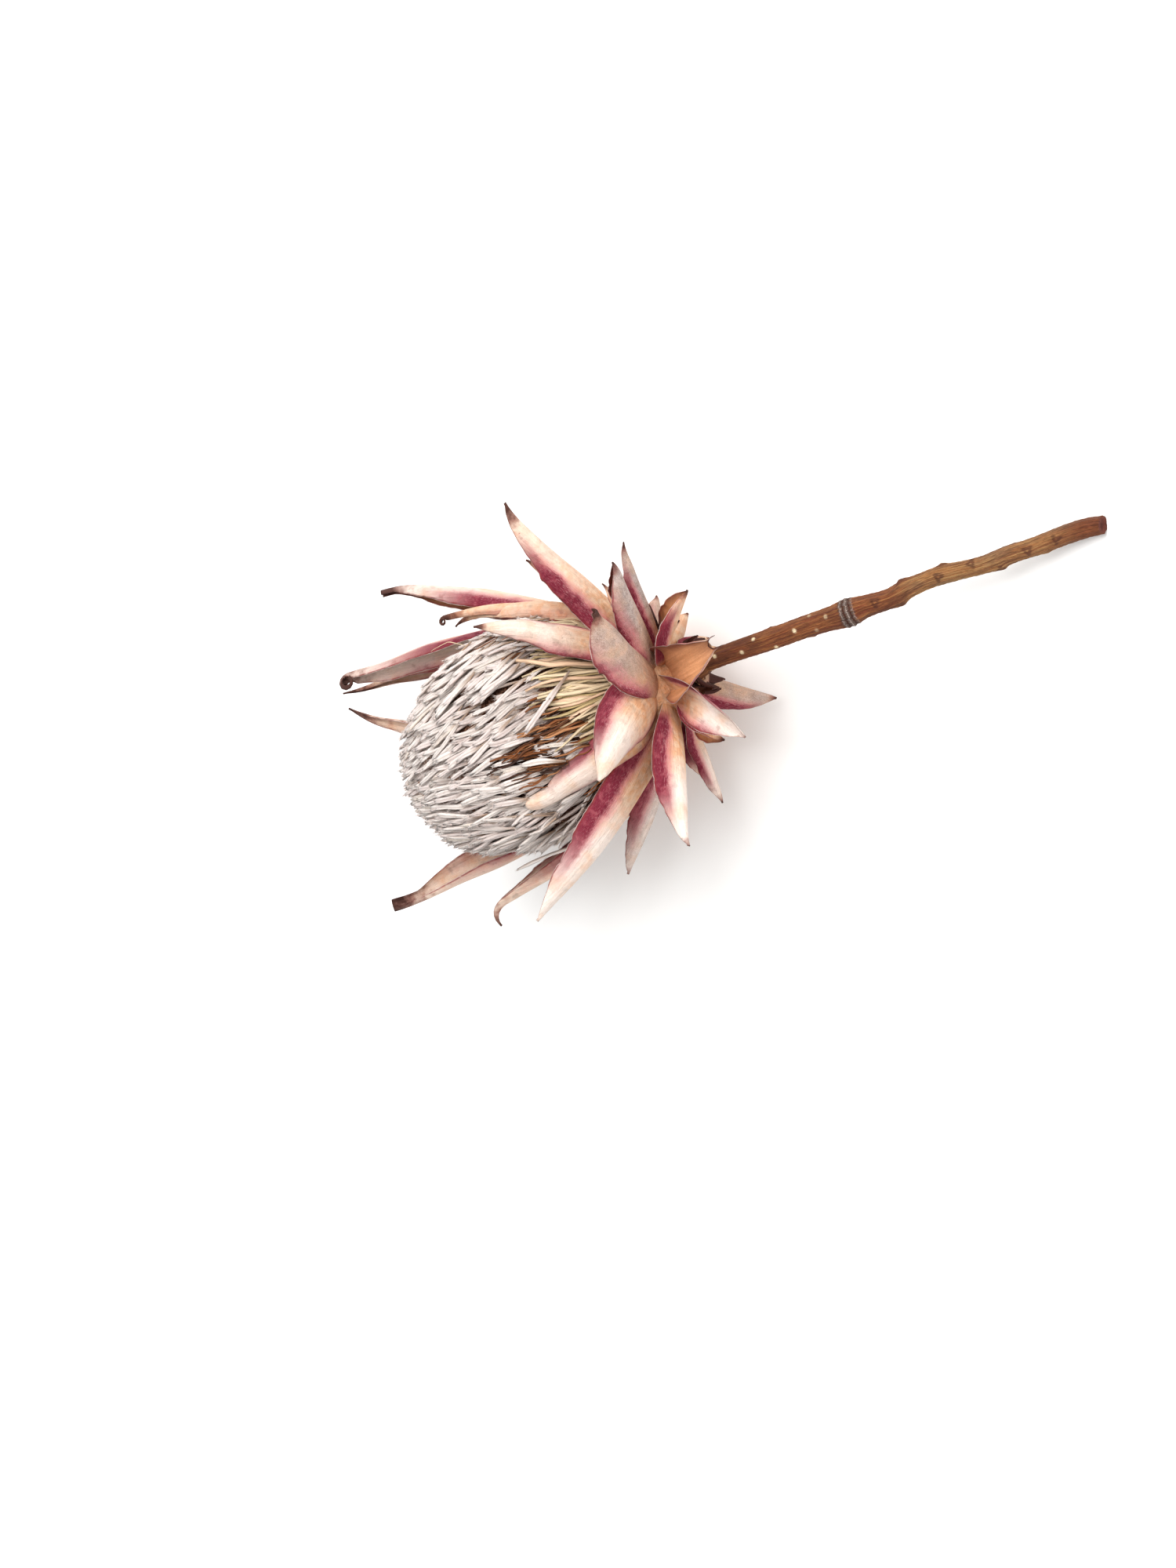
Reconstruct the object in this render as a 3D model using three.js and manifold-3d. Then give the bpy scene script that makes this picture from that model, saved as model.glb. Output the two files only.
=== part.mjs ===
// King protea, dried, cut with its stem and lying on a flat surface.
// Millimetres, +Z up. The bloom points to -X, the cut stem to +X.
// The flower is modelled in its own frame first: the origin is the middle of the
// head's base, +Z runs forward through the florets, +Y is the side that lies uppermost.

import * as THREE from 'three';
import { mergeVertices } from 'three/addons/utils/BufferGeometryUtils.js';
import Module from 'manifold-3d';

const wasm = await Module();
wasm.setup();

// Driving dimensions
const GAP = 0.3;
const STEM_RADIUS = 4.4;
const CUP_WALL = 1.6;
const BLADE_THICKNESS = 0.9;
const FLORET_LENGTH = 24;
const FLORET_WIDTH = 6.4;
const FLORET_THICKNESS = 1.6;
const FLORET_SPACING = 8.5;
const COURSE_SPACING = 13;
const COURSES_FROM = 46;
const SEED = 20261;

// How the flower lies: on the keels of two bracts and the cut end of the stem. The head's axis
// is pitched up by the first angle and rolled about itself by the second, in degrees. The
// lowest points are worn flat to a small depth.
const LAY_PITCH = 13.041;
const LAY_ROLL = 0;
const FLAT_SPOT_DEPTH = 0.4;

// Woody receptacle: [height, radius], from the stem's top to the rim that carries the florets
const RECEPTACLE = [[-17, 5], [-12, 6.2], [-7, 8.6], [-2, 11.8], [3, 15.4], [8, 19.4], [10, 20.2]];
const RECEPTACLE_TOP = 19;

// Outline of the packed florets: [height, radius], and how far its front lies to one side
const HEAD = [
  [11, 21], [20, 32], [32, 43], [46, 49.5], [64, 52], [85, 51], [100, 48],
  [115, 41], [127, 31], [136, 18], [141, 0],
];
const HEAD_FRONT = 141;
const HEAD_SKEW = 7;

// Stem centre line, from the head's base to the cut end
const STEM_PATH = [
  [0, 0, 0], [-0.6, 0, -17], [0.2, 0.4, -36], [1.2, 0.5, -53], [1.7, 0.4, -68], [3, 0, -86],
  [3.3, -0.4, -98], [4.1, -0.6, -110], [2.9, -0.8, -121], [2.7, -0.6, -133], [4.1, -0.3, -145],
  [5.6, 0.2, -156], [5.9, 0.5, -170], [6.8, 0.5, -184], [6.9, 0.3, -196], [7.6, 0, -206],
  [9.1, -0.4, -214],
];

// Radius of the stem: [height, radius]
const STEM_RADII = [
  [-214, 4], [-200, 4.3], [-186, 4.4], [-175, 4], [-165, 4.1], [-135, 4], [-110, 4.5], [-100, 5],
  [-84, 5.5], [-72, 5.2], [-50, 4.8], [-30, 4.7], [-17, 4.5],
];
const NODE_RING_AT = -90;
const NODE_RING_RADIUS = 6.4;
const NODE_RING_SPREAD = 5;
const SCAR_SPREAD = 3;

// Leaf scars on the stem: [height, angle round the stem, how far it stands out]
const LEAF_SCARS = [
  [-34, 250, 0.7], [-52, 200, 0.6], [-70, 320, 0.7], [-104, 95, 0.9], [-114, 10, 1.2],
  [-118, 170, 1], [-123, 250, 1.2], [-136, 85, 0.8], [-138, 175, 1], [-146, 290, 1.1],
  [-152, 120, 0.9], [-164, 15, 1.2], [-170, 230, 1.2], [-179, 80, 0.9], [-187, 310, 1.1],
  [-193, 85, 0.8],
];

// Bracts. at: angle round the axis; up: height of the root; lean: angle from the axis at the
// root and the tip; sway: turn to the side at the root and the tip; bend: under 1 where most
// of the turn is near the root; cup: half angle of the cross arc at the middle and the tip;
// full: where the blade is widest; base: width share at the root; blunt: at the tip.
const BRACTS = [
  // Outer bracts, turned back to the stem
  { at: 146, up: -4, lean: [125, 139], long: 38, wide: 32, cup: [50, 80], full: 0.16, base: 0.6 },
  { at: 96, up: -4, lean: [122, 165], sway: [-1, 9], long: 45, wide: 36,
    cup: [60, 75], full: 0.3, base: 0.7, blunt: 0.3 },
  { at: 302, up: -6, lean: [124, 138], sway: [5, 13], long: 41, wide: 24, cup: [75, 90] },
  { at: 74, up: -1, lean: [126, 155], sway: [-8, -60], long: 52, wide: 27, cup: [28, 45], base: 0.6 },
  { at: 222, up: -2, lean: [107, 120], long: 22, wide: 22, cup: [70, 80] },
  { at: 261, up: -3, lean: [112, 140], long: 22, wide: 24, cup: [70, 80] },
  { at: 290, up: -2, lean: [104, 118], long: 26, wide: 22, cup: [70, 85] },
  { at: 170, up: -3, lean: [128, 147], long: 16, wide: 18, cup: [70, 80] },
  { at: 239, up: -5, lean: [129, 151], long: 16, wide: 18, cup: [75, 90] },
  { at: 19, up: -4, lean: [116, 115], sway: [10, 9], long: 31, wide: 26, cup: [75, 90] },
  { at: 176, up: -2, lean: [97, 91], long: 22, wide: 14, cup: [75, 90] },
  // Middle bracts
  { at: 159, up: 3, lean: [76, 68], long: 96, wide: 34, cup: [60, 80], full: 0.27 },
  { at: 179, up: 5, lean: [64, 49], long: 70, wide: 20, cup: [70, 90] },
  { at: 101, up: 2, lean: [101, 83], sway: [5, 44], long: 64, wide: 38,
    cup: [60, 65], full: 0.62, base: 0.6, blunt: 0.2 },
  { at: 137, up: 0, lean: [101, 103], sway: [3, -7], long: 66, wide: 32, cup: [70, 90] },
  { at: 151, up: -2, lean: [104, 99], sway: [4, -12], long: 64, wide: 18, cup: [75, 90] },
  { at: 154, up: 1, lean: [84, 84], long: 42, wide: 12, cup: [75, 90] },
  { at: 31, up: 2, lean: [93, 79], sway: [6, -4], long: 72, wide: 32, cup: [65, 80] },
  { at: 343, up: 1, lean: [90, 80], sway: [4, -7], long: 51, wide: 18, cup: [75, 90] },
  { at: 80, up: 5, lean: [89, 41], sway: [-3, -39], long: 61, wide: 38,
    cup: [60, 75], full: 0.36, base: 0.5 },
  { at: 354, up: 5, lean: [60, 37], sway: [4, -8], long: 82, wide: 34, cup: [70, 90] },
  { at: 18, up: 2, lean: [77, 58], sway: [4, 4], long: 39, wide: 26, cup: [70, 85] },
  { at: 219, up: 3, lean: [74, 40], long: 56, wide: 28, cup: [65, 80] },
  { at: 328, up: 2, lean: [84, 67], long: 43, wide: 28, cup: [65, 80] },
  { at: 201, up: 0, lean: [97, 97], long: 26, wide: 24, cup: [70, 85] },
  // Inner bracts, along the florets
  { at: 193, up: 6, lean: [50, 17], sway: [3, -8], long: 140, wide: 36,
    cup: [65, 110], base: 0.3, blunt: 0.2 },
  { at: 181, up: 8, lean: [80, 0], sway: [1, 3], long: 100, wide: 22, bend: 0.5, cup: [80, 110] },
  { at: 187, up: 8, lean: [74, 0], sway: [1, -15], long: 107, wide: 15, bend: 0.5, cup: [100, 130] },
  { at: 135, up: 8, lean: [79, 20], sway: [-7, 9], long: 81, wide: 23, cup: [50, 70] },
  { at: 206, up: 8, lean: [78, -8], sway: [13, -13], long: 170, wide: 26, bend: 0.35,
    cup: [50, 90], full: 0.6 },
  { at: 229, up: 8, lean: [74, -3], sway: [3, -7], long: 183, wide: 18, bend: 0.35,
    cup: [90, 130], full: 0.6 },
  { at: 263, up: 8, lean: [77, -10], sway: [22, -46], long: 200, wide: 20, bend: 0.35,
    cup: [80, 100], full: 0.6, base: 0.3 },
  { at: 58, up: 8, lean: [84, -9], sway: [1, -7], long: 81, wide: 26, bend: 0.6,
    cup: [50, 60], blunt: 0.5 },
  { at: 25, up: 7, lean: [63, 22], sway: [6, -3], long: 112, wide: 38, cup: [65, 80] },
  { at: 315, up: 8, lean: [76, -16], sway: [-3, 17], long: 189, wide: 32, bend: 0.4,
    cup: [70, 85], full: 0.6, blunt: 0.35 },
  { at: 336, up: 8, lean: [68, -2], sway: [-4, 13], long: 142, wide: 26, bend: 0.5,
    cup: [70, 90], full: 0.55 },
  { at: 272, up: 8, lean: [90, 4], long: 118, wide: 26, bend: 0.35, cup: [65, 80] },
  { at: 292, up: 8, lean: [86, -4], long: 142, wide: 24, bend: 0.35, cup: [65, 90] },
  { at: 240, up: 6, lean: [86, 4], long: 126, wide: 30, bend: 0.6, cup: [65, 80] },
  { at: 300, up: 6, lean: [86, 4], long: 126, wide: 30, bend: 0.6, cup: [65, 80] },
  { at: 258, up: 3, lean: [74, 18], long: 62, wide: 28, bend: 0.6, cup: [65, 80] },
  { at: 282, up: 3, lean: [74, 18], long: 60, wide: 26, bend: 0.6, cup: [65, 80] },
];

// A bract is cut into rows of about this length, and this many columns
const BRACT_ROW = 15;
const BRACT_COLUMNS = 2;

// Seeded draws, so that every build gives the same flower
function makeDraws(seed) {
  let state = seed;
  return (low, high) => {
    state = (Math.imul(state, 1664525) + 1013904223) >>> 0;
    return low + (high - low) * state / 4294967296;
  };
}

const radians = THREE.MathUtils.degToRad;
const lerp = THREE.MathUtils.lerp;
const vec = (x, y, z) => new THREE.Vector3(x, y, z);

// Value of a [position, value] list at a position, straight between its points
function along(list, at) {
  const last = list.length - 1;
  if (at <= list[0][0]) return list[0][1];
  for (let i = 0; i < last; i += 1) {
    const [from, fromValue] = list[i];
    const [to, toValue] = list[i + 1];
    if (at <= to) return lerp(fromValue, toValue, (at - from) / (to - from));
  }
  return list[last][1];
}

// Closed solid from points and triangles
function solid(points, triangles) {
  const vertProperties = new Float32Array(points.flatMap((p) => [p.x, p.y, p.z]));
  const triVerts = new Uint32Array(triangles.flat());
  return new wasm.Manifold(new wasm.Mesh({ numProp: 3, vertProperties, triVerts }));
}

// Solid through rings of equal count, each end closed by a fan round its middle
function ringSolid(rings, first, last) {
  const count = rings[0].length;
  const points = [...rings.flat(), first, last];
  const firstIndex = points.length - 2;
  const lastIndex = points.length - 1;
  const triangles = [];
  for (let i = 0; i < rings.length - 1; i += 1) {
    for (let j = 0; j < count; j += 1) {
      const a = i * count + j;
      const b = i * count + (j + 1) % count;
      triangles.push([a, b, b + count], [a, b + count, a + count]);
    }
  }
  const top = (rings.length - 1) * count;
  for (let j = 0; j < count; j += 1) {
    const next = (j + 1) % count;
    triangles.push([firstIndex, next, j], [lastIndex, top + j, top + next]);
  }
  return solid(points, triangles);
}

// Thin blade between an outer and an inner grid of points, split alike on both faces
function bladeSolid(outer, inner) {
  const columns = outer[0].length;
  const rows = outer.length;
  const points = [...outer.flat(), ...inner.flat()];
  const half = rows * columns;
  const at = (i, j) => i * columns + j;
  const triangles = [];
  for (let i = 0; i < rows - 1; i += 1) {
    for (let j = 0; j < columns - 1; j += 1) {
      const [a, b, c, d] = [at(i, j), at(i, j + 1), at(i + 1, j + 1), at(i + 1, j)];
      triangles.push([a, b, c], [a, c, d]);
      triangles.push([half + a, half + c, half + b], [half + a, half + d, half + c]);
    }
    const [left, leftUp] = [at(i, 0), at(i + 1, 0)];
    const [right, rightUp] = [at(i, columns - 1), at(i + 1, columns - 1)];
    triangles.push([left, leftUp, half + leftUp], [left, half + leftUp, half + left]);
    triangles.push([right, half + rightUp, rightUp], [right, half + right, half + rightUp]);
  }
  const top = (rows - 1) * columns;
  for (let j = 0; j < columns - 1; j += 1) {
    triangles.push([j, half + j, half + j + 1], [j, half + j + 1, j + 1]);
    const [p, q] = [top + j, top + j + 1];
    triangles.push([p, q, half + q], [p, half + q, half + p]);
  }
  return solid(points, triangles);
}

// Pieces joined into one body, with any hollow that the joining seals filled
function fused(pieces) {
  const shells = wasm.Manifold.union(pieces).decompose();
  shells.sort((a, b) => b.volume() - a.volume());
  return shells[0];
}

// Solid turned round the axis from a closed outline of [radius, height]
function turnedSolid(outline, segments) {
  const profile = [...outline, outline[0]].map(([r, z]) => new THREE.Vector2(r, z));
  const geometry = new THREE.LatheGeometry(profile, segments);
  geometry.rotateX(Math.PI / 2);
  return solidFromGeometry(geometry);
}

// Solid from a closed geometry, its seams merged
function solidFromGeometry(geometry) {
  geometry.deleteAttribute('normal');
  geometry.deleteAttribute('uv');
  const merged = mergeVertices(geometry, 1e-4);
  const vertProperties = new Float32Array(merged.attributes.position.array);
  const triVerts = new Uint32Array(merged.index.array);
  return new wasm.Manifold(new wasm.Mesh({ numProp: 3, vertProperties, triVerts }));
}

// Share of a bract's full width at a place along it, from root to tip
function bractWidth(bract, t) {
  const { full = 0.42, base = 0.5, blunt = 0.06 } = bract;
  if (t < full) return lerp(base, 1, Math.sin(t / full * Math.PI / 2));
  return Math.max(blunt, (1 - ((t - full) / (1 - full)) ** 1.8) ** 0.85);
}

// Half angle of a bract's cross arc at a place along it: the root lies round the receptacle
function bractCup(bract, rootRadius, t) {
  const [middle, tip] = bract.cup.map(radians);
  const root = bract.wide / 2 * bractWidth(bract, 0) / rootRadius;
  return t < 0.5 ? lerp(root, middle, Math.min(1, t * 2.5)) : lerp(middle, tip, t * 2 - 1);
}

// Boat-shaped bract: its centre line bends away from the axis and its section is an arc
// whose hollow side faces the florets.
function bractSolid(bract) {
  const rows = THREE.MathUtils.clamp(Math.round(bract.long / BRACT_ROW), 4, 7);
  const steps = 8;
  const angle = radians(bract.at);
  const out = vec(Math.cos(angle), Math.sin(angle), 0);
  const side = vec(-Math.sin(angle), Math.cos(angle), 0);
  const forward = vec(0, 0, 1);
  const rootRadius = along(RECEPTACLE, bract.up) + GAP + CUP_WALL / 2;
  const middle = out.clone().multiplyScalar(rootRadius).addScaledVector(forward, bract.up);
  const [swayRoot, swayTip] = bract.sway ?? [0, 0];
  const outer = [];
  const inner = [];
  for (let i = 0; i <= rows * steps; i += 1) {
    const t = i / (rows * steps);
    const lean = radians(lerp(...bract.lean, t ** (bract.bend ?? 0.8)));
    const sway = radians(lerp(swayRoot, swayTip, t));
    const heading = out.clone().multiplyScalar(Math.sin(lean));
    heading.addScaledVector(forward, Math.cos(lean)).multiplyScalar(Math.cos(sway));
    heading.addScaledVector(side, Math.sin(sway));
    if (i % steps === 0) {
      const back = side.clone().cross(heading).normalize();
      const across = heading.clone().cross(back);
      const halfWidth = bract.wide / 2 * bractWidth(bract, t);
      const cup = bractCup(bract, rootRadius, t);
      const arc = halfWidth / cup;
      const outerRow = [];
      const innerRow = [];
      for (let j = 0; j <= BRACT_COLUMNS; j += 1) {
        const turn = cup * (2 * j / BRACT_COLUMNS - 1);
        const rim = across.clone().multiplyScalar(Math.sin(turn));
        rim.addScaledVector(back, Math.cos(turn));
        const place = middle.clone().addScaledVector(back, -arc).addScaledVector(rim, arc);
        outerRow.push(place.clone().addScaledVector(rim, BLADE_THICKNESS / 2));
        innerRow.push(place.clone().addScaledVector(rim, -BLADE_THICKNESS / 2));
      }
      outer.push(outerRow);
      inner.push(innerRow);
    }
    middle.addScaledVector(heading, bract.long / (rows * steps));
  }
  return bladeSolid(outer, inner);
}

// Cup of grown-together bract bases round the receptacle
function involucreCup() {
  const foot = -12;
  const slant = 0.6;
  const segments = 20;
  const inside = RECEPTACLE.filter(([z]) => z >= foot).map(([z, r]) => [r + GAP, z]);
  const outside = inside.map(([r, z]) => [r + CUP_WALL, z - slant]).reverse();
  return turnedSolid([...inside, ...outside].reverse(), segments);
}

function buildBracts() {
  return fused([involucreCup(), ...BRACTS.map(bractSolid)]);
}

// Centre of the packed florets at a height: the head leans a little to one side at its front
function headCentre(z) {
  return HEAD_SKEW * (z / HEAD_FRONT) ** 3;
}

// Point on the outline of the packed florets, sunk by a depth
function headPoint(z, turn, depth) {
  const radius = Math.max(0, along(HEAD, z) - depth);
  return vec(headCentre(z) + radius * Math.cos(turn), radius * Math.sin(turn), z);
}

// Core of stalks, fluted near its foot, which the straps stand out of. Its stages are
// [height, depth under the outline, depth of the flutes].
function floretCore() {
  const flutes = 18;
  const seatHeight = 11;
  const seatRadius = 19;
  const front = 130;
  const stages = [
    [14, 2.5, 1.2], [24, 3.2, 1.6], [36, 3.6, 1.2], [52, 4, 0], [85, 4, 0], [106, 4, 0], [122, 5, 0],
  ];
  const corners = [...Array(flutes * 2).keys()].map((j) => j * Math.PI / flutes);
  const seat = corners.map((turn) => {
    return vec(seatRadius * Math.cos(turn), seatRadius * Math.sin(turn), seatHeight);
  });
  const shell = stages.map(([z, depth, flute]) => {
    return corners.map((turn, j) => headPoint(z, turn, depth + (j % 2) * flute));
  });
  const foot = vec(0, 0, RECEPTACLE_TOP + GAP);
  return ringSolid([seat, ...shell], foot, vec(headCentre(front), 0, front));
}

// One floret: a three-sided strap that widens from its root to a blunt end
function floretSolid(root, heading, outward) {
  const across = heading.clone().cross(outward).normalize();
  const back = across.clone().cross(heading).normalize();
  const ring = (distance, share) => {
    const centre = root.clone().addScaledVector(heading, distance);
    const half = FLORET_WIDTH / 2 * share;
    const rise = FLORET_THICKNESS / 2;
    return [
      centre.clone().addScaledVector(across, half).addScaledVector(back, -rise),
      centre.clone().addScaledVector(back, rise),
      centre.clone().addScaledVector(across, -half).addScaledVector(back, -rise),
    ];
  };
  const points = [...ring(0, 0.5), ...ring(FLORET_LENGTH, 1)];
  return solid(points, [
    [0, 1, 2], [3, 5, 4],
    [0, 4, 1], [0, 3, 4], [1, 5, 2], [1, 4, 5], [2, 3, 0], [2, 5, 3],
  ]);
}

// Heights of the courses of florets, evenly spaced along the head's outline
function courseHeights() {
  const fine = 0.25;
  const heights = [];
  let walked = COURSE_SPACING;
  for (let z = COURSES_FROM; z < HEAD_FRONT; z += fine) {
    if (walked >= COURSE_SPACING) {
      heights.push(z);
      walked = 0;
    }
    walked += Math.hypot(fine, along(HEAD, z + fine) - along(HEAD, z));
  }
  return heights;
}

// Courses of florets laid like thatch, each over the roots of the course in front of it.
// Those at the front point more and more forward. One that would cross a bract is squeezed
// towards the core.
function buildFlorets(bracts) {
  const squeezes = [0, 2, 4, 6];
  const forwardFrom = 100;
  const forwardMost = 0.4;
  const draw = makeDraws(SEED);
  const pieces = [floretCore()];
  courseHeights().forEach((z, course) => {
    const radius = along(HEAD, z);
    const count = Math.max(1, Math.round(2 * Math.PI * radius / FLORET_SPACING));
    for (let k = 0; k < count; k += 1) {
      const turn = 2 * Math.PI * (k + (course % 2) / 2 + draw(-0.12, 0.12)) / count;
      const swing = draw(-0.05, 0.05);
      const rise = draw(0.2, 0.24);
      const tip = headPoint(z + draw(-2, 2), turn, draw(-0.5, 0.3));
      const behind = headPoint(z - 0.8 * FLORET_LENGTH, turn, 0);
      const slope = headPoint(z, turn, 0).sub(behind).normalize();
      const round = vec(-Math.sin(turn), Math.cos(turn), 0);
      const outward = round.clone().cross(slope).normalize();
      const forward = forwardMost * Math.max(0, (z - forwardFrom) / (HEAD_FRONT - forwardFrom));
      const heading = slope.clone().multiplyScalar(1 - forward).add(vec(0, 0, forward));
      heading.addScaledVector(round, swing).addScaledVector(outward, rise).normalize();
      for (const squeeze of squeezes) {
        const root = tip.clone().addScaledVector(outward, -squeeze);
        root.addScaledVector(heading, -FLORET_LENGTH);
        const floret = floretSolid(root, heading, outward);
        if (floret.intersect(bracts).volume() === 0) {
          pieces.push(floret);
          break;
        }
      }
    }
  });
  return fused(pieces);
}

// Radius of the stem at a height, with the swollen ring where a season's growth began
function stemRadius(z) {
  const ring = Math.exp(-(((z - NODE_RING_AT) / NODE_RING_SPREAD) ** 2));
  return along(STEM_RADII, z) + (NODE_RING_RADIUS - along(STEM_RADII, NODE_RING_AT)) * ring;
}

// Woody stem and receptacle, grown as one
function buildStem() {
  const sides = 12;
  const path = new THREE.CatmullRomCurve3(STEM_PATH.map((p) => vec(...p)));
  const steps = 56;
  const rings = [];
  const circle = (centre, heading, radiusAt) => {
    const up = vec(0, 1, 0);
    const across = up.clone().cross(heading).normalize();
    const rise = heading.clone().cross(across);
    const ring = [];
    for (let j = 0; j < sides; j += 1) {
      const turn = 2 * Math.PI * j / sides;
      const r = radiusAt(turn);
      const place = centre.clone().addScaledVector(across, r * Math.cos(turn));
      ring.push(place.addScaledVector(rise, r * Math.sin(turn)));
    }
    return ring;
  };
  for (let i = steps; i >= 0; i -= 1) {
    const centre = path.getPoint(i / steps);
    if (centre.z > RECEPTACLE[0][0] - 1) continue;
    const heading = path.getTangent(i / steps).negate();
    rings.push(circle(centre, heading, (turn) => {
      let radius = stemRadius(centre.z);
      for (const [height, angle, stand] of LEAF_SCARS) {
        const round = 2 * STEM_RADIUS * Math.sin((turn - radians(angle)) / 2);
        const apart = Math.hypot(centre.z - height, round);
        radius += stand * Math.exp(-((apart / SCAR_SPREAD) ** 2));
      }
      return radius;
    }));
  }
  for (const [z, radius] of RECEPTACLE) {
    rings.push(circle(vec(0, 0, z), vec(0, 0, 1), () => radius));
  }
  const cutEnd = rings[0][0].clone().lerp(rings[0][sides / 2], 0.5);
  return ringSolid(rings, cutEnd, vec(0, 0, RECEPTACLE_TOP));
}

function meshFrom(name, manifold, material) {
  const { vertProperties, triVerts } = manifold.getMesh();
  const geometry = new THREE.BufferGeometry();
  geometry.setAttribute('position', new THREE.BufferAttribute(new Float32Array(vertProperties), 3));
  geometry.setIndex(new THREE.BufferAttribute(new Uint32Array(triVerts), 1));
  const mesh = new THREE.Mesh(geometry, material);
  mesh.name = name;
  return mesh;
}

// Turns the flower from its own frame to how it lies: its front to -X, its upper side to +Z
function layDown(group) {
  group.rotation.set(0, radians(LAY_PITCH - 90), radians(LAY_ROLL - 90));
  group.updateMatrixWorld(true);
}

// Block of everything below the surface that the flower lies on, in the flower's own frame
function surfaceBlock(group) {
  const size = 600;
  const geometry = new THREE.BoxGeometry(size, size, size / 4);
  geometry.translate(0, 0, -size / 8);
  geometry.applyMatrix4(group.matrixWorld.clone().invert());
  return solidFromGeometry(geometry);
}

const bracts = buildBracts();
const florets = buildFlorets(bracts);
const stem = buildStem();

const wood = new THREE.MeshStandardMaterial({ color: 0x7a5230, roughness: 0.75, metalness: 0 });
const dryBract = new THREE.MeshStandardMaterial({ color: 0xd9ab94, roughness: 0.8, metalness: 0 });
const wool = new THREE.MeshStandardMaterial({ color: 0xcdc4bf, roughness: 0.95, metalness: 0 });

const flower = new THREE.Group();
layDown(flower);

// Lower the flower onto the surface, with its lowest points worn flat
const lowest = bracts.transform(flower.matrixWorld.elements).boundingBox().min[2];
flower.position.z = -lowest - FLAT_SPOT_DEPTH;
flower.updateMatrixWorld(true);
const surface = surfaceBlock(flower);
flower.add(meshFrom('stem', stem.subtract(surface), wood));
flower.add(meshFrom('bracts', bracts.subtract(surface), dryBract));
flower.add(meshFrom('florets', florets, wool));

// The origin is under the middle of the flower's box
const middle = new THREE.Box3().setFromObject(flower, true).getCenter(vec(0, 0, 0));
flower.position.x -= middle.x;
flower.position.y -= middle.y;

export default flower;
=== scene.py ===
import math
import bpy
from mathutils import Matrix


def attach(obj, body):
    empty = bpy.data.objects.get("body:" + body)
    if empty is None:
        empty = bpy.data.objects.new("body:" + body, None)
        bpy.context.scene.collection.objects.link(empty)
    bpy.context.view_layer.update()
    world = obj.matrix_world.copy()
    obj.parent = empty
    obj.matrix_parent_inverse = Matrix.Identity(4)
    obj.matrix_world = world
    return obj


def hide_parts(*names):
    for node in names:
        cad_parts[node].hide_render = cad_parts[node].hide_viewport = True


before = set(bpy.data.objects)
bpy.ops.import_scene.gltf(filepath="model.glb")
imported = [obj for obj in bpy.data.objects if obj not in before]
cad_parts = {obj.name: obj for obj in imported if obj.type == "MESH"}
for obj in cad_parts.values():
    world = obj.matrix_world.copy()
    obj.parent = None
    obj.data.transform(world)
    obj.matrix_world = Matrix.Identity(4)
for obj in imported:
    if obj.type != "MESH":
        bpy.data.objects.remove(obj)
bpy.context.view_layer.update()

# A dried king protea: a head of woolly florets, boat-shaped bracts round it and a woody stem.
# Shapes are made in the flower's own frame, in millimetres: the origin is the middle of the
# head's base, +Z runs forward through the florets and +Y is the side that lies uppermost.

from types import SimpleNamespace

import bpy
import numpy as np
from mathutils import Matrix, Vector
from mathutils.bvhtree import BVHTree

# How the flower lies: the pitch of its axis, and where its origin is over the surface
LAY_PITCH = math.radians(13.041)
FLOWER_AT = np.array([-11.204, -9.542, 52.127])
FLOWER_AXES = np.array([
    [0, -1, 0],
    [math.sin(LAY_PITCH), 0, math.cos(LAY_PITCH)],
    [-math.cos(LAY_PITCH), 0, math.sin(LAY_PITCH)],
])

# How the photograph shows it: the head points away by a turn, its origin is at a pixel, its
# axis runs in a direction (right, down), and a pixel there is so many millimetres
HEAD_TURN = math.radians(20)
ORIGIN_PIXEL = (858, 863)
AXIS_IN_PICTURE = (-0.929, 0.370)
PIXEL = 0.36
PICTURE_SIZE = (1500, 2000)

# Woody receptacle, [height, radius], and the cup of grown-together bract bases round it
RECEPTACLE = [[-17, 5], [-12, 6.2], [-7, 8.6], [-2, 11.8], [3, 15.4], [8, 19.4], [10, 20.2]]
RECEPTACLE_TOP = 19
CUP_FROM = -12
CUP_GAP = 0.3
CUP_WALL = 1.6
CUP_DROP = 0.6
CUP_SIDES = 64

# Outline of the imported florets: [height, radius], and how far its front lies to one side
HEAD = [
    [11, 21], [20, 32], [32, 43], [46, 49.5], [64, 52], [85, 51], [100, 48],
    [115, 41], [127, 31], [136, 18], [141, 0],
]
HEAD_FRONT = HEAD[-1][0]
HEAD_SKEW = 7

# Stem centre line, from the head's base to the cut end
STEM_PATH = [
    (0, 0, 0), (-0.6, 0, -17), (0.2, 0.4, -36), (1.2, 0.5, -53), (1.7, 0.4, -68), (3, 0, -86),
    (3.3, -0.4, -98), (4.1, -0.6, -110), (2.9, -0.8, -121), (2.7, -0.6, -133), (4.1, -0.3, -145),
    (5.6, 0.2, -156), (5.9, 0.5, -170), (6.8, 0.5, -184), (6.9, 0.3, -196), (7.6, 0, -206),
    (9.1, -0.4, -214),
]
STEM_LENGTH = -STEM_PATH[-1][2]
STEM_RADIUS = 4.4
STEM_STEP = 0.5
STEM_SIDES = 60
STEM_SEED = 31

# Radius of the stem: [height, radius]
STEM_RADII = [
    [-214, 4], [-200, 4.3], [-186, 4.4], [-175, 4], [-165, 4.1], [-135, 4], [-110, 4.5], [-100, 5],
    [-84, 5.5], [-72, 5.2], [-50, 4.8], [-30, 4.7], [-17, 4.5],
]
NODE_RING_AT = -90
NODE_RING_RADIUS = 6.4
NODE_RING_SPREAD = 5
RING_RIDGE = 0.24

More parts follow.
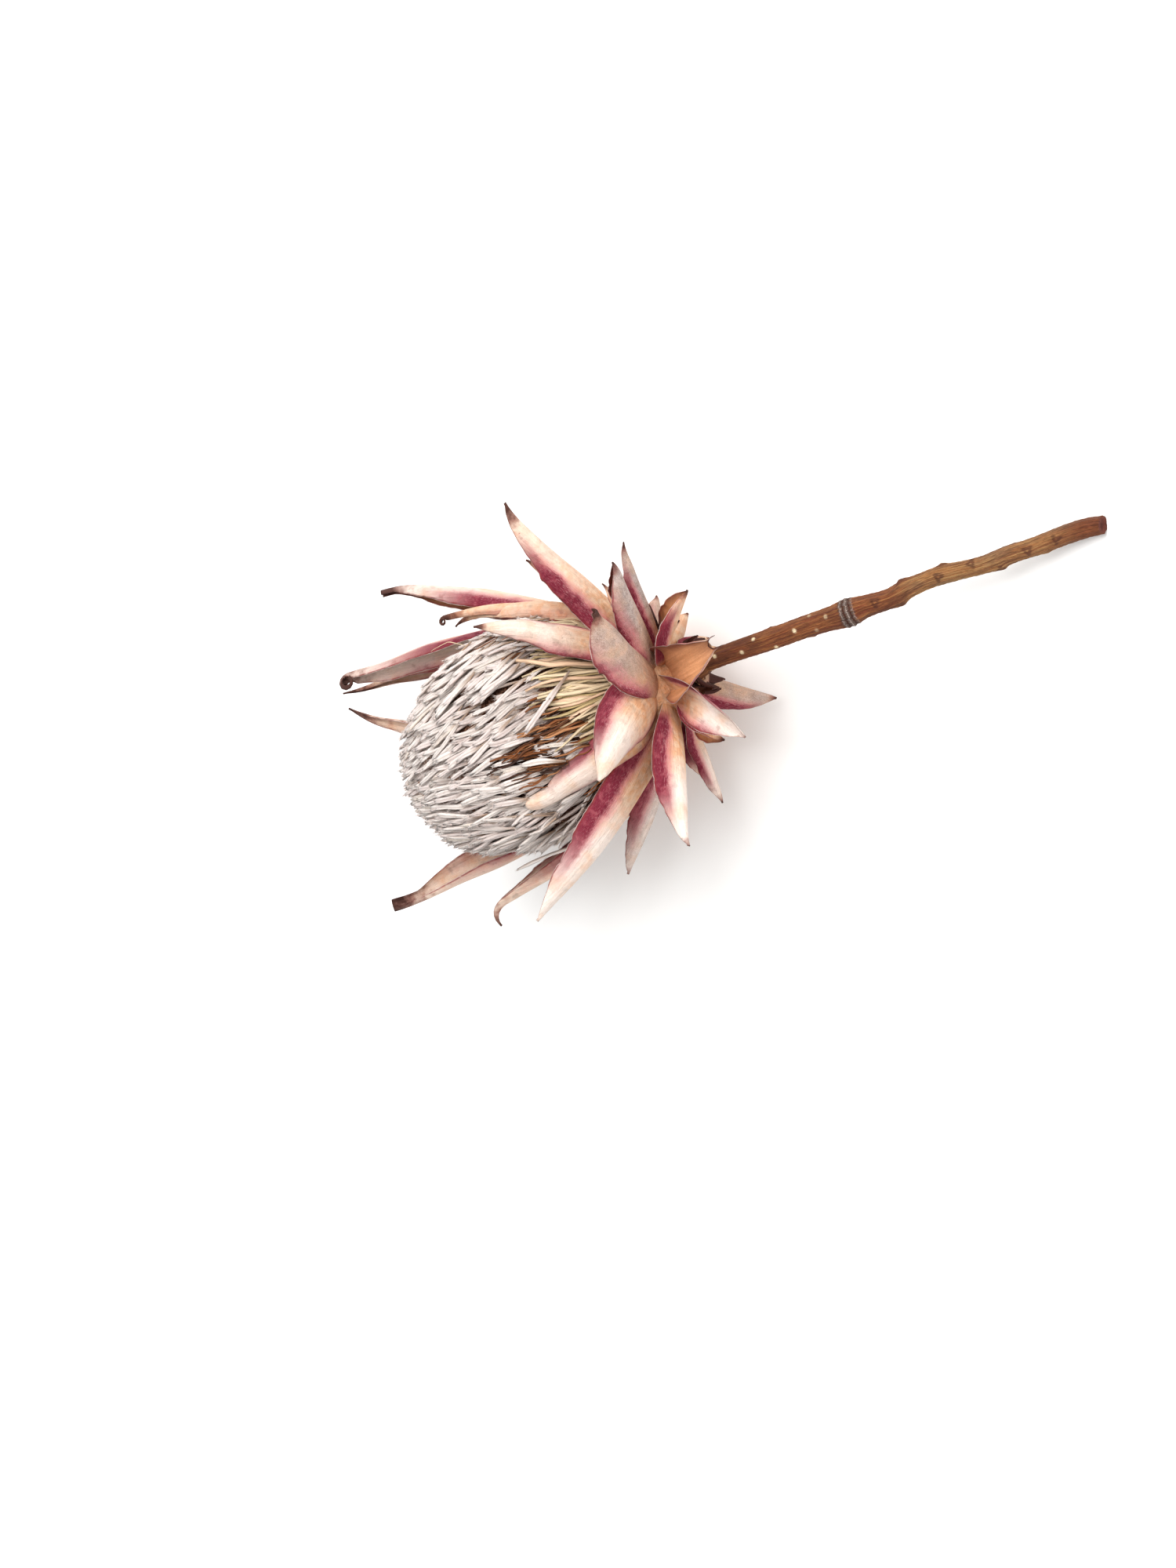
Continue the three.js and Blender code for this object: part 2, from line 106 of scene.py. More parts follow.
# Cut end: how far it slants, over which length of stem, and the rings of its face, [share of
# the stem's radius, how far the ring stands in]
CUT_SLANT = 1.6
CUT_SLANT_LENGTH = 12
CUT_RINGS = [[0.25, 0.5], [0.55, 0.15], [0.86, -0.1]]

# Ridges of the bark, [waves round the stem, height], and its swellings and knobs
BARK_RIDGES = [[5, 0.13], [9, 0.11], [14, 0.08], [23, 0.06]]
BARK_SWELLING = 0.12
BARK_KNOB = 0.09

# Leaf scars on the stem: [height, angle round the stem, how far it stands out]
LEAF_SCARS = [
    [-34, 250, 0.7], [-52, 200, 0.6], [-70, 320, 0.7], [-104, 95, 0.9], [-114, 10, 1.2],
    [-118, 170, 1], [-123, 250, 1.2], [-136, 85, 0.8], [-138, 175, 1], [-146, 290, 1.1],
    [-152, 120, 0.9], [-164, 15, 1.2], [-170, 230, 1.2], [-179, 80, 0.9], [-187, 310, 1.1],
    [-193, 85, 0.8],
]
LEAF_SCAR_REACH = 2.4
LEAF_SCAR_PIT = 0.35

# Small pale scars between the head and the node ring: [height, angle, strength]
PALE_SCARS = [
    [-24, 102, 1], [-19, 5, 1], [-37, 72, 1], [-44, 124, 1], [-53, 36, 1], [-64, 90, 1],
    [-72, 150, 0.5], [-80, 109, 0.5], [-74, 55, 0.3], [-30, 250, 1], [-44, 290, 1], [-62, 235, 1],
    [-72, 320, 0.5],
]
PALE_SCAR_REACH = 1.2
PALE_SCAR_STAND = 0.22

# Bracts. at: angle round the axis; up: height of the root; lean: angle from the axis at the
# root and the tip; sway: turn to the side at the root and the tip; bend: under 1 where most
# of the turn is near the root; cup: half angle of the cross arc at the middle and the tip;
# full: where the blade is widest; base: width share at the root; blunt: at the tip;
# notch: how deep the tip is cut in; curl: where the tip starts to curl, and by how much;
# flush: maroon at the margins; bloom: chalky white towards the tip; dusk: mauve grey all over;
# char: where the tip is dark; alike: 1 where the hollow side is coloured like the back;
# fringe: 0 where the margins have no hairs. What a row leaves out is usual or, for curl, drawn.
USUAL_BRACT = dict(
    sway=(0, 0), bend=0.8, full=0.42, base=0.5, blunt=0.06, notch=0, flush=1, bloom=0.1, dusk=0,
    char=0.96, alike=0, fringe=1,
)
OUTER_BRACTS = [
    dict(at=146, up=-4, lean=(125, 139), long=38, wide=32, cup=(50, 80), base=0.6, full=0.16),
    dict(at=96, up=-4, lean=(122, 165), sway=(-1, 9), long=45, wide=36, cup=(60, 75), base=0.7,
         full=0.3, blunt=0.3, notch=7, curl=(0.95, 8)),
    dict(at=302, up=-6, lean=(124, 138), sway=(5, 13), long=41, wide=24, cup=(75, 90), dusk=0.8,
         flush=1.3),
    dict(at=74, up=-1, lean=(126, 155), sway=(-8, -60), long=52, wide=27, cup=(28, 45), base=0.6,
         bloom=1, alike=1, char=1.02),
    dict(at=222, up=-2, lean=(107, 120), long=22, wide=22, cup=(70, 80)),
    dict(at=261, up=-3, lean=(112, 140), long=22, wide=24, cup=(70, 80)),
    dict(at=290, up=-2, lean=(104, 118), long=26, wide=22, cup=(70, 85)),
    dict(at=170, up=-3, lean=(128, 147), long=16, wide=18, cup=(70, 80)),
    dict(at=239, up=-5, lean=(129, 151), long=16, wide=18, cup=(75, 90)),
    dict(at=19, up=-4, lean=(116, 115), sway=(10, 9), long=31, wide=26, cup=(75, 90), flush=1.4),
    dict(at=176, up=-2, lean=(97, 91), long=22, wide=14, cup=(75, 90), dusk=1, char=0.1),
]
MIDDLE_BRACTS = [
    dict(at=159, up=3, lean=(76, 68), long=96, wide=34, cup=(60, 80), full=0.27, flush=1.3,
         bloom=0.4, char=0.93),
    dict(at=179, up=5, lean=(64, 49), long=70, wide=20, cup=(70, 90), flush=1.4),
    dict(at=101, up=2, lean=(101, 83), sway=(5, 44), long=64, wide=38, cup=(60, 65), full=0.62,
         base=0.6, blunt=0.2, flush=1.6, dusk=0.7, bloom=0),
    dict(at=137, up=0, lean=(101, 103), sway=(3, -7), long=66, wide=32, cup=(70, 90), dusk=1,
         flush=1.2, bloom=0.2),
    dict(at=151, up=-2, lean=(104, 99), sway=(4, -12), long=64, wide=18, cup=(75, 90), dusk=1,
         flush=1.3),
    dict(at=154, up=1, lean=(84, 84), long=42, wide=12, cup=(75, 90), flush=0.3),
    dict(at=31, up=2, lean=(93, 79), sway=(6, -4), long=72, wide=32, cup=(65, 80), flush=1.2,
         bloom=1, char=1.0),
    dict(at=343, up=1, lean=(90, 80), sway=(4, -7), long=51, wide=18, cup=(75, 90), dusk=0.6,
         flush=1.2, bloom=0.6),
    dict(at=80, up=5, lean=(89, 41), sway=(-3, -39), long=61, wide=38, base=0.5, cup=(60, 75),
         full=0.36, flush=1.2, bloom=0.9, char=1.06),
    dict(at=354, up=5, lean=(60, 37), sway=(4, -8), long=82, wide=34, cup=(70, 90), dusk=1,
         bloom=0.5, char=1.02),
    dict(at=18, up=2, lean=(77, 58), sway=(4, 4), long=39, wide=26, cup=(70, 85), dusk=0.2),
    dict(at=219, up=3, lean=(74, 40), long=56, wide=28, cup=(65, 80)),
    dict(at=328, up=2, lean=(84, 67), long=43, wide=28, cup=(65, 80), bloom=0.6),
    dict(at=201, up=0, lean=(97, 97), long=26, wide=24, cup=(70, 85), dusk=0.6),
]
INNER_BRACTS = [
    dict(at=193, up=6, lean=(50, 17), sway=(3, -8), long=140, wide=36, cup=(65, 110), base=0.3,
         blunt=0.2, flush=1.4, bloom=0.8, char=0.93),
    dict(at=181, up=8, lean=(80, 0), sway=(1, 3), long=100, wide=22, bend=0.5, cup=(80, 110),
         flush=0.2),
    dict(at=187, up=8, lean=(74, 0), sway=(1, -15), long=113, wide=15, bend=0.5, cup=(100, 130),
         curl=(0.88, -380), flush=0.5, char=0.86),
    dict(at=135, up=8, lean=(79, 20), sway=(-7, 9), long=81, wide=23, cup=(50, 70), dusk=0.2,
         bloom=0.6),
    dict(at=206, up=8, lean=(78, -8), sway=(13, -13), long=190, wide=26, bend=0.35,
         cup=(50, 90), full=0.6, curl=(0.88, -330), flush=1.2, bloom=0.8, char=0.9, alike=1),
    dict(at=229, up=8, lean=(74, -3), sway=(3, -7), long=183, wide=18, bend=0.35, cup=(90, 130),
         full=0.6, flush=1.3, bloom=0.4, char=0.94, alike=1),
    dict(at=263, up=8, lean=(77, -10), sway=(22, -46), long=200, wide=20, bend=0.35,
         cup=(80, 100), base=0.3, full=0.6, flush=1.5, bloom=0.5, alike=1),
    dict(at=58, up=8, lean=(84, -9), sway=(1, -7), long=81, wide=26, bend=0.6, cup=(50, 60),
         blunt=0.5, flush=0.9, bloom=0.8, char=1.06),
    dict(at=25, up=7, lean=(63, 22), sway=(6, -3), long=112, wide=38, cup=(65, 80), flush=1.2,
         bloom=1, char=1.06),
    dict(at=315, up=8, lean=(76, -16), sway=(-3, 17), long=189, wide=32, bend=0.4, cup=(70, 85),
         full=0.6, blunt=0.35, bloom=0.6, alike=1),
    dict(at=336, up=8, lean=(68, -2), sway=(-4, 13), long=147, wide=26, bend=0.5, cup=(70, 90),
         full=0.55, curl=(0.9, 120), bloom=0.5, alike=1),
    dict(at=272, up=8, lean=(90, 4), long=118, wide=26, bend=0.35, cup=(65, 80)),
    dict(at=292, up=8, lean=(86, -4), long=142, wide=24, bend=0.35, cup=(65, 90), bloom=0.4),
    dict(at=240, up=6, lean=(86, 4), long=126, wide=30, bend=0.6, cup=(65, 80)),
    dict(at=300, up=6, lean=(86, 4), long=126, wide=30, bend=0.6, cup=(65, 80), bloom=0.4),
    dict(at=258, up=3, lean=(74, 18), long=62, wide=28, bend=0.6, cup=(65, 80)),
    dict(at=282, up=3, lean=(74, 18), long=60, wide=26, bend=0.6, cup=(65, 80)),
]
BRACT_SEED = 20262
BRACT_THICKNESS = 0.9
BRACT_COLUMNS = 21

# What drying does to a bract: it twists, curls from a share of its length on and folds at the
# keel, in degrees, its margins roll in, wave and tear, and its face folds and dents
BRACT_TWIST = 16
CURL_FROM = 0.84
CURL = (-34, 26)
KEEL_FOLD = 12
MARGIN_ROLL = 0.3
MARGIN_WAVE = 0.7
MARGIN_TEARS = 4
MARGIN_HAIR = (0.2, 0.8)
FOLD_HEIGHT = 0.25
DENT_DEPTH = 0.6

# Short dark scales, dried and torn, left round the neck under the bracts, in two rings
SCALE_HEIGHTS = (-13, -10.5)
SCALES_A_RING = 7
SCALE_SPACING = 51.4
SCALE_LENGTH = (7, 13)
SCALE_WIDTH = (8, 12)

# Florets: tufts of woolly straps laid like thatch over a core, in courses that come closer
# together near the front, where the straps point more and more forward. The swing is in degrees.
STRAP_SEED = 20261
STRAP_COURSE = 7.6
STRAP_SCATTER = 3.5
CROWDED_FROM = (100, 124)
CROWDING = 0.36
FORWARD_FROM = 100
FORWARD_MOST = 0.4
TUFT_SPACING = 8.1
TUFT_SWING = 18
TUFT_RISE = (0.10, 0.36)
TUFT_LIFT = (-3.0, 2.3)
TUFT_STRAPS = (0.8, 4.2)
STRAP_APART = 2.9
STRAP_LENGTH = (22, 38)
STRAP_WIDTH = (1.7, 2.9)
STRAP_THICKNESS = 1.7
STRAP_ROWS = 9
LOBE_REACH = 0.04
FRAYS = 9
FRAY_LENGTH = (0.9, 2.6)

# The most, in degrees, that a strap is turned at its root, and that it twists from there on
STRAP_TWIST = (20, 24)

# Straps follow the head's slope over a reach behind their roots. One that meets a bract is tried
# again sunk by these depths, and then left out.
SLOPE_REACH = 18
SQUEEZES = (0, 1.5, 3, 4.5)

# Cross section of a strap: [across, out] shares, two ridges with a groove between them on its
# outer side, how deep in a groove each point lies, for painted shade there, and which lobe of the end
# it is on
STRAP_SECTION = np.array([
    [-1.00, -0.10], [-0.86, 0.55], [-0.48, 0.88], [-0.06, 0.52], [0.42, 0.96], [0.86, 0.60],
    [1.00, -0.10], [0.55, -0.80], [-0.55, -0.80],
])
STRAP_GROOVE_SHADE = np.array([0.7, 0.1, 0, 0.6, 0, 0.1, 0.7, 1, 1])
STRAP_LOBE = np.array([0, 0, 0, 1, 2, 2, 2, 1, 1])

# Core of packed stalks: how deep under the outline it lies, its rings and its flutes
CORE_DEPTH = 5
CORE_TOP = 136
CORE_STEP = 3
CORE_SIDES = 96
CORE_FLUTES = 24
FLUTE_DEPTH = 0.8

# Layers of stalks: [count, depth]
STALK_LAYERS = [[110, 4.4], [120, 3.0], [120, 1.6], [70, 0.2]]
STALKS_FROM = 12.5
STALK_RADIUS = (0.6, 1.15)

# Brown and orange fibres torn from the stalks, in tufts. A share of the tufts lies on one side,
# between two angles.
FIBRE_TUFTS = 34
FIBRES_A_TUFT = (2, 7)
FIBRES_ON_SIDE = 0.45
FIBRE_SIDE = (56, 92)
FIBRE_LENGTH = (9, 22)
FIBRE_RADIUS = (0.25, 0.7)

# How far forward the straps' tips start, by the angle round the head: [angle, height]
STRAPS_FROM = [[0, 38], [60, 42], [90, 47], [120, 51], [160, 50], [200, 42], [360, 38]]

# Straps that lie loose over the others: [height, angle, lift] of the root and tip, and width
LOOSE_STRAPS = [
    [[31, 116, 3.5], [56, 92, 4], 2.7], [[66, 1, 3], [103, 6, 7], 3.2],
    [[50, 128, 2.5], [72, 117, 3], 2.8], [[46, 70, 2], [64, 78, 3], 2.8],
]

# Cream ribbons torn loose near the bracts: [height, angle, lift] along each, and half width
LOOSE_RIBBONS = [
    [[15, 120, 1.5], [26, 120, 3], [38, 121, 3.4], [53, 129, 2.5], 1.4],
    [[22, 148, 2.5], [21, 134, 5.5], [20, 118, 6], [17, 100, 5], [13, 92, 3], 0.8],
    [[24, 144, 2], [22, 131, 5], [19, 112, 5.5], [15, 97, 4.5], 0.7],
    [[84, 168, 0], [93, 172, 7], [101, 167, 9], 0.4],
]

# How far the straps swing round the axis, by the angle round the head: [angle, swing]
STRAP_SWING = [
    [0, -10], [20, -14], [50, 14], [90, 2], [120, -14], [160, -26], [200, -12], [270, 6],
    [330, -4], [360, -10],
]

# Camera: lens and sensor in millimetres
LENS = 120
SENSOR = 36

# Lamps: direction (right, up, near) in the picture, distance and size in metres, power in watts
LAMPS = {
    "key": [(-0.5, 0.4, 1.0), 1.6, 1.2, 23],
    "fill": [(0.7, -0.1, 0.9), 2.0, 1.4, 8],
}
SURROUNDINGS = 0.7
FLOOR_REACH = 3
FLOOR_COLOUR = (0.9, 0.9, 0.89)

# Colours, as light scattered back
CREAM = (0.82, 0.56, 0.38)
PEACH = (0.78, 0.42, 0.23)
CHALK = (0.88, 0.76, 0.69)
MAUVE = (0.19, 0.10, 0.085)
SILVER = (0.52, 0.43, 0.40)
PINK = (0.56, 0.175, 0.195)
FELT = (0.66, 0.36, 0.36)
CRIMSON = (0.27, 0.045, 0.045)
MAROON = (0.205, 0.02, 0.042)
TAN = (0.66, 0.32, 0.15)
RED_BROWN = (0.20, 0.055, 0.04)
CHARRED = (0.055, 0.018, 0.013)
SMUDGE = (0.33, 0.25, 0.19)
WOOL = (0.98, 0.885, 0.82)
LILAC_WOOL = (0.92, 0.79, 0.74)
# The next three are painted shade: the dark of the straps' grooves, of sunk straps and deep in the
# head; the straps' brown roots, their own dry colour and also painted shade where they lie under other
# straps; and wool in shade, painted on the core near the front
WOOL_PAINTED_SHADE = (0.29, 0.16, 0.105)
DRY_ROOT_AND_SHADE = (0.44, 0.26, 0.15)
WOOL_IN_PAINTED_SHADE = (0.78, 0.69, 0.64)
STRAW = (0.84, 0.67, 0.45)
# Painted shade: a darker olive straw for stalks, standing in for the shade between them
STRAW_PAINTED_SHADE = (0.56, 0.42, 0.21)
RUST = (0.33, 0.12, 0.04)
# Dark brown: the own colour of some torn fibres, and painted shade deep in the head on the packed core
PITH_AND_DEEP_SHADE = (0.075, 0.032, 0.02)
GOLDEN_BARK = (0.36, 0.155, 0.055)
PALE_BARK = (0.47, 0.27, 0.115)
RED_BARK = (0.19, 0.05, 0.019)
DARK_BARK = (0.10, 0.03, 0.016)
GREY_BARK = (0.12, 0.095, 0.08)
SCAR_WHITE = (0.80, 0.67, 0.45)


def make_draws(seed):
    """Seeded draws between two values, by a linear congruential series: the same on every run."""
    state = seed

    def draw(low, high):
        nonlocal state
        state = (state * 1664525 + 1013904223) % 2 ** 32
        return low + (high - low) * state / 2 ** 32

    return draw


def along(table, at):
    """Value of a [position, value] table at a position or positions."""
    return np.interp(at, [row[0] for row in table], [row[1] for row in table])


def smooth(values, low, high):
    """0 below low, 1 above high and an even curve between them."""
    share = np.clip((np.asarray(values, float) - low) / (high - low), 0, 1)
    return share * share * (3 - 2 * share)


def unit(vectors):
    """Vectors scaled to a length of one."""
    return vectors / np.linalg.norm(vectors, axis=-1, keepdims=True)


def lay(points):
    """Points of the flower's own frame, in the shared frame and in metres."""
    return (np.asarray(points, float) @ FLOWER_AXES + FLOWER_AT) / 1000


# Pieces

class Gather:
    """Points, faces and painted values of many blades, gathered into one piece."""

    def __init__(self):
        self.points = []
        self.faces = []
        self.values = {}
        self.count = 0

    def add(self, points, faces, **values):
        """Takes in a blade: its points, its faces by its own points, and its painted values."""
        self.points.append(points)
        self.faces += [tuple(int(i) + self.count for i in face) for face in faces]
        for name, value in values.items():
            self.values.setdefault(name, []).append(value)
        self.count += len(points)

    def piece(self, name, finish, node):
        """The piece as an object, laid down: no point goes under the surface that it lies on."""
        mesh = bpy.data.meshes.new(name)
        laid = lay(np.concatenate(self.points))
        laid[:, 2] = np.maximum(laid[:, 2], 0)
        mesh.from_pydata(laid.tolist(), [], self.faces)
        for key, parts in self.values.items():
            values = np.concatenate(parts)
            vector = values.ndim == 2
            layer = mesh.attributes.new(key, "FLOAT_VECTOR" if vector else "FLOAT", "POINT")
            layer.data.foreach_set("vector" if vector else "value", values.astype(np.float32).ravel())
        mesh.shade_smooth()
        mesh.materials.append(finish)
        made = bpy.data.objects.new(name, mesh)
        bpy.context.scene.collection.objects.link(made)
        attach(made, "root")
        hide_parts(node)


def blade_faces(rows, columns):
    """Faces of a thin blade whose outer grid of points comes first and its inner grid second."""
    half = rows * columns
    faces = []
    for i in range(rows - 1):
        for j in range(columns - 1):
            a, b = i * columns + j, i * columns + j + 1
            c, d = b + columns, a + columns
            faces.append((a, b, c, d))
            faces.append((half + a, half + d, half + c, half + b))
        left, right = i * columns, i * columns + columns - 1
        faces.append((left, left + columns, half + left + columns, half + left))
        faces.append((right, half + right, half + right + columns, right + columns))
    top = (rows - 1) * columns
    for j in range(columns - 1):
        faces.append((j, half + j, half + j + 1, j + 1))
        faces.append((top + j, top + j + 1, half + top + j + 1, half + top + j))
    return faces


# Faces of a hair: its foot of three points and its tip
SPIKE_FACES = [(0, 2, 1), (0, 1, 3), (1, 2, 3), (2, 0, 3)]


def tube_faces(rings, sides):
    """Faces of a tube through rings of points, closed by a point at each end."""
    faces = []
    for i in range(rings - 1):
        for j in range(sides):
            a, b = i * sides + j, i * sides + (j + 1) % sides
            faces.append((a, b, b + sides, a + sides))
    first, last = rings * sides, rings * sides + 1
    top = (rings - 1) * sides
    for j in range(sides):
        after = (j + 1) % sides
        faces.append((first, after, j))
        faces.append((last, top + j, top + after))
    return faces


# Bracts

def bract_width(bract, t):
    """Share of a bract's full width, from root to tip."""
    full, base, blunt = bract["full"], bract["base"], bract["blunt"]
    rising = base + (1 - base) * np.sin(np.minimum(t / full, 1) * math.pi / 2)
    falling = (1 - np.clip((t - full) / (1 - full), 0, 1) ** 1.8) ** 0.85
    return np.where(t < full, rising, np.maximum(blunt, falling))


def bract_cup(bract, root_radius, t):
    """Half angle of a bract's cross arc: the root lies round the receptacle."""
    middle, tip = (math.radians(angle) for angle in bract["cup"])
    root = bract["wide"] / 2 * bract_width(bract, np.array(0.0)) / root_radius
    lower = root + (middle - root) * np.minimum(1, t * 2.5)
    return np.where(t < 0.5, lower, middle + (tip - middle) * (t * 2 - 1))


def bract_line(bract, steps):
    """Centre line of a bract and the directions along it, across it and out of its back."""
    angle = math.radians(bract["at"])
    out = np.array([math.cos(angle), math.sin(angle), 0])
    side = np.array([-math.sin(angle), math.cos(angle), 0])
    forward = np.array([0, 0, 1])
    t = np.arange(steps + 1) / steps
    lean = bract["lean"][0] + (bract["lean"][1] - bract["lean"][0]) * t ** bract["bend"]
    start, turned = bract["curl"]
    lean = lean + turned * np.clip((t - start) / (1 - start), 0, 1) ** 1.3
    sway = bract["sway"]
    lean, sway = np.radians(lean)[:, None], np.radians(sway[0] + (sway[1] - sway[0]) * t)[:, None]
    heading = np.cos(sway) * (np.sin(lean) * out + np.cos(lean) * forward) + np.sin(sway) * side
    back = unit(np.cross(side, heading))
    across = np.cross(heading, back)
    root_radius = along(RECEPTACLE, bract["up"]) + CUP_GAP + CUP_WALL / 2
    root = out * root_radius + forward * bract["up"]
    centre = root + np.cumsum(heading, axis=0) * bract["long"] / steps - heading * bract["long"] / steps
    return t, centre, heading, across, back, root_radius


def bract_section(cup, u, t):
    """Turn of a bract's section, and its place across and out, in half widths: an arc with a
    fold at the keel and margins that roll in."""
    keel = math.radians(KEEL_FOLD) * smooth(t, 0.1, 0.6)[:, None] * np.tanh(u / 0.09)
    roll = 1 + MARGIN_ROLL * smooth(t, 0.1, 0.5)[:, None] * np.abs(u) ** 4
    turn = cup[:, None] * u * roll + keel
    step = np.diff(u)
    middle = len(u) // 2
    places = []
    for slope in (np.cos(turn), -np.sin(turn)):
        walked = np.cumsum((slope[:, 1:] + slope[:, :-1]) / 2 * step, axis=1)
        walked = np.concatenate([np.zeros((len(t), 1)), walked], axis=1)
        places.append(walked - walked[:, middle:middle + 1])
    return turn, places[0], places[1]


def leading_margin(across):
    """1 or -1: the margin of a bract that faces the light in the photograph."""
    beside = float(across[0]) * AXIS_IN_PICTURE[1]
    ahead = float(across[1] * math.sin(HEAD_TURN) + across[2] * math.cos(HEAD_TURN))
    return math.copysign(1, -(beside + ahead * AXIS_IN_PICTURE[0]))


def torn_margins(run, long, draw):
    """Share by which the margins of a bract stand out, along it: uneven and torn in places."""
    torn = 0.02 * np.sin(run * draw(0.2, 0.4) + draw(0, 6)) + 0.012 * np.sin(run * draw(0.9, 1.4))
    for _ in range(MARGIN_TEARS):
        torn = torn - draw(0.03, 0.1) * np.exp(-((run - draw(0.3, 1) * long) / draw(0.8, 2)) ** 2)
    return torn


def dried_folds(run, u, loose, t, draw):
    """How far the dried face of a bract stands off its even shape: waves, folds and dents."""
    margin = np.abs(u) ** 3 * np.sin(run * draw(0.16, 0.26) + u * draw(1, 3) + draw(0, 6))
    folds = np.sin(u * draw(7, 11) + 0.05 * run + draw(0, 6)) * smooth(t, 0.35, 1)[:, None]
    dent = np.sin(run * draw(0.08, 0.15) + draw(0, 6)) * np.sin(u * draw(2, 4) + draw(0, 6))
    return MARGIN_WAVE * margin + FOLD_HEIGHT * folds + DENT_DEPTH * dent * loose


def bract_paint(bract, t, u, run, half_width, draw):
    """Values for a bract's finish, painted on its outer and then on its inner face."""
    shape = len(t), len(u)
    width = (half_width[:, None] * u).ravel()
    length = np.broadcast_to(run, shape).ravel()
    blade = np.stack([width, length, np.full(width.size, draw(0, 60))], axis=1)
    spread = [np.broadcast_to(u, shape).ravel(), np.broadcast_to(t[:, None], shape).ravel()]
    place = [np.stack([*spread, np.full(width.size, face)], axis=1) for face in (1, bract["alike"])]
    look = [bract["flush"] * draw(0.9, 1.1), bract["bloom"] + draw(0, 0.15),
            bract["dusk"] + draw(0, 0.12)]
    count = 2 * width.size
    return dict(
        blade=np.concatenate([blade, blade + (0, 0, 9)]), place=np.concatenate(place),
        look=np.tile(look, (count, 1)), char=np.full(count, bract["char"] + draw(-0.01, 0.01)),
    )


def add_bract(gather, bract, draw):
    """A boat-shaped bract: its section is an arc whose hollow side faces the florets. It has 48
    to 84 rows of points by its length."""
    steps = 12 * min(7, max(4, round(bract["long"] / 13)))
    bract = {**USUAL_BRACT, "curl": (CURL_FROM, draw(*CURL)), **bract}
    t, centre, heading, across, back, root_radius = bract_line(bract, steps)
    long, wide = bract["long"], bract["wide"]
    lead = leading_margin(across[steps // 2])
    twist = np.radians(draw(-BRACT_TWIST, BRACT_TWIST)) * t[:, None]
    across, back = (across * np.cos(twist) + back * np.sin(twist),
                    back * np.cos(twist) - across * np.sin(twist))
    run = (t * long)[:, None]
    loose = smooth(t, 0.15, 0.9)[:, None]
    centre = centre + across * 0.9 * np.sin(run * draw(0.07, 0.13) + draw(0, 6)) * loose
    half_width = wide / 2 * bract_width(bract, t)
    cup = bract_cup(bract, root_radius, t)
    u = np.linspace(-1, 1, BRACT_COLUMNS)
    u = np.sign(u) * np.abs(u) ** 0.85
    turn, aside, out = bract_section(cup, u, t)
    rim = across[:, None] * np.sin(turn)[..., None] + back[:, None] * np.cos(turn)[..., None]
    torn = torn_margins(run, long, draw)
    torn = 1 + np.sign(u) * torn * np.abs(u) ** 2 * smooth(t, 0.2, 0.95)[:, None]
    aside, out = aside * torn * half_width[:, None], out * torn * half_width[:, None]
    middle = centre[:, None] + across[:, None] * aside[..., None] + back[:, None] * out[..., None]

    notch = bract["notch"] * np.outer(smooth(t, 0.84, 1), 1 - np.abs(u) ** 1.5)
    middle = middle - heading[:, None] * notch[..., None]
    share = (half_width / (wide / 2))[:, None]
    middle = middle + rim * (dried_folds(run, u, loose, t, draw) * share)[..., None]

    thick = BRACT_THICKNESS * (0.3 + 0.7 * (1 - np.abs(u) ** 2.5)) * (1 - 0.35 * t[:, None])
    outer = middle + rim * (thick / 2)[..., None]
    inner = middle - rim * (thick / 2)[..., None]
    points = np.concatenate([outer.reshape(-1, 3), inner.reshape(-1, 3)])
    paint = bract_paint(bract, t, u, run, half_width, draw)
    gather.add(points, blade_faces(len(t), len(u)), **paint, lead=np.full(len(points), lead))
    if bract["fringe"]:
        add_fringe(gather, middle, t, heading, draw, paint["look"][0])
    return middle


def add_fringe(gather, middle, t, heading, draw, look):
    """Fine pale hairs that stand along both margins of a bract."""
    for margin, beside in ((0, 2), (-1, -3)):
        for row in range(3, len(t) - 2):
            at = middle[row, margin] + (middle[row + 1, margin] - middle[row, margin]) * draw(0, 1)
            away = unit(at - middle[row, beside])
            lean = unit(away + heading[row] * draw(0.2, 1.4))
            foot = heading[row] * 0.09, np.cross(heading[row], away) * 0.08
            tip = at + lean * draw(*MARGIN_HAIR)
            inside = at - away * 0.2
            points = np.array([inside + foot[0], inside + foot[1], inside - foot[0] - foot[1], tip])
            gather.add(
                points, SPIKE_FACES, blade=np.tile([0, t[row] * 50, 3], (4, 1)).astype(float),
                place=np.tile([1.0, t[row], 1.0], (4, 1)), look=np.tile(look, (4, 1)),
                char=np.full(4, 1.1), lead=np.zeros(4),
            )


def neck_scales(draw):
    """Rows like the bracts' for the scales round the neck: one ring's stand between the other's."""
    scales = []
    for ring, height in enumerate(SCALE_HEIGHTS):
        for k in range(SCALES_A_RING):
            scales.append(dict(
                at=SCALE_SPACING * k + 25 * ring + draw(-8, 8), up=height, long=draw(*SCALE_LENGTH),
                wide=draw(*SCALE_WIDTH), lean=(draw(112, 126), draw(132, 165)), cup=(55, 75),
                base=0.8, full=0.3, blunt=0.15, flush=0.4, dusk=1, char=draw(0.0, 0.3), fringe=0,
            ))
    return scales


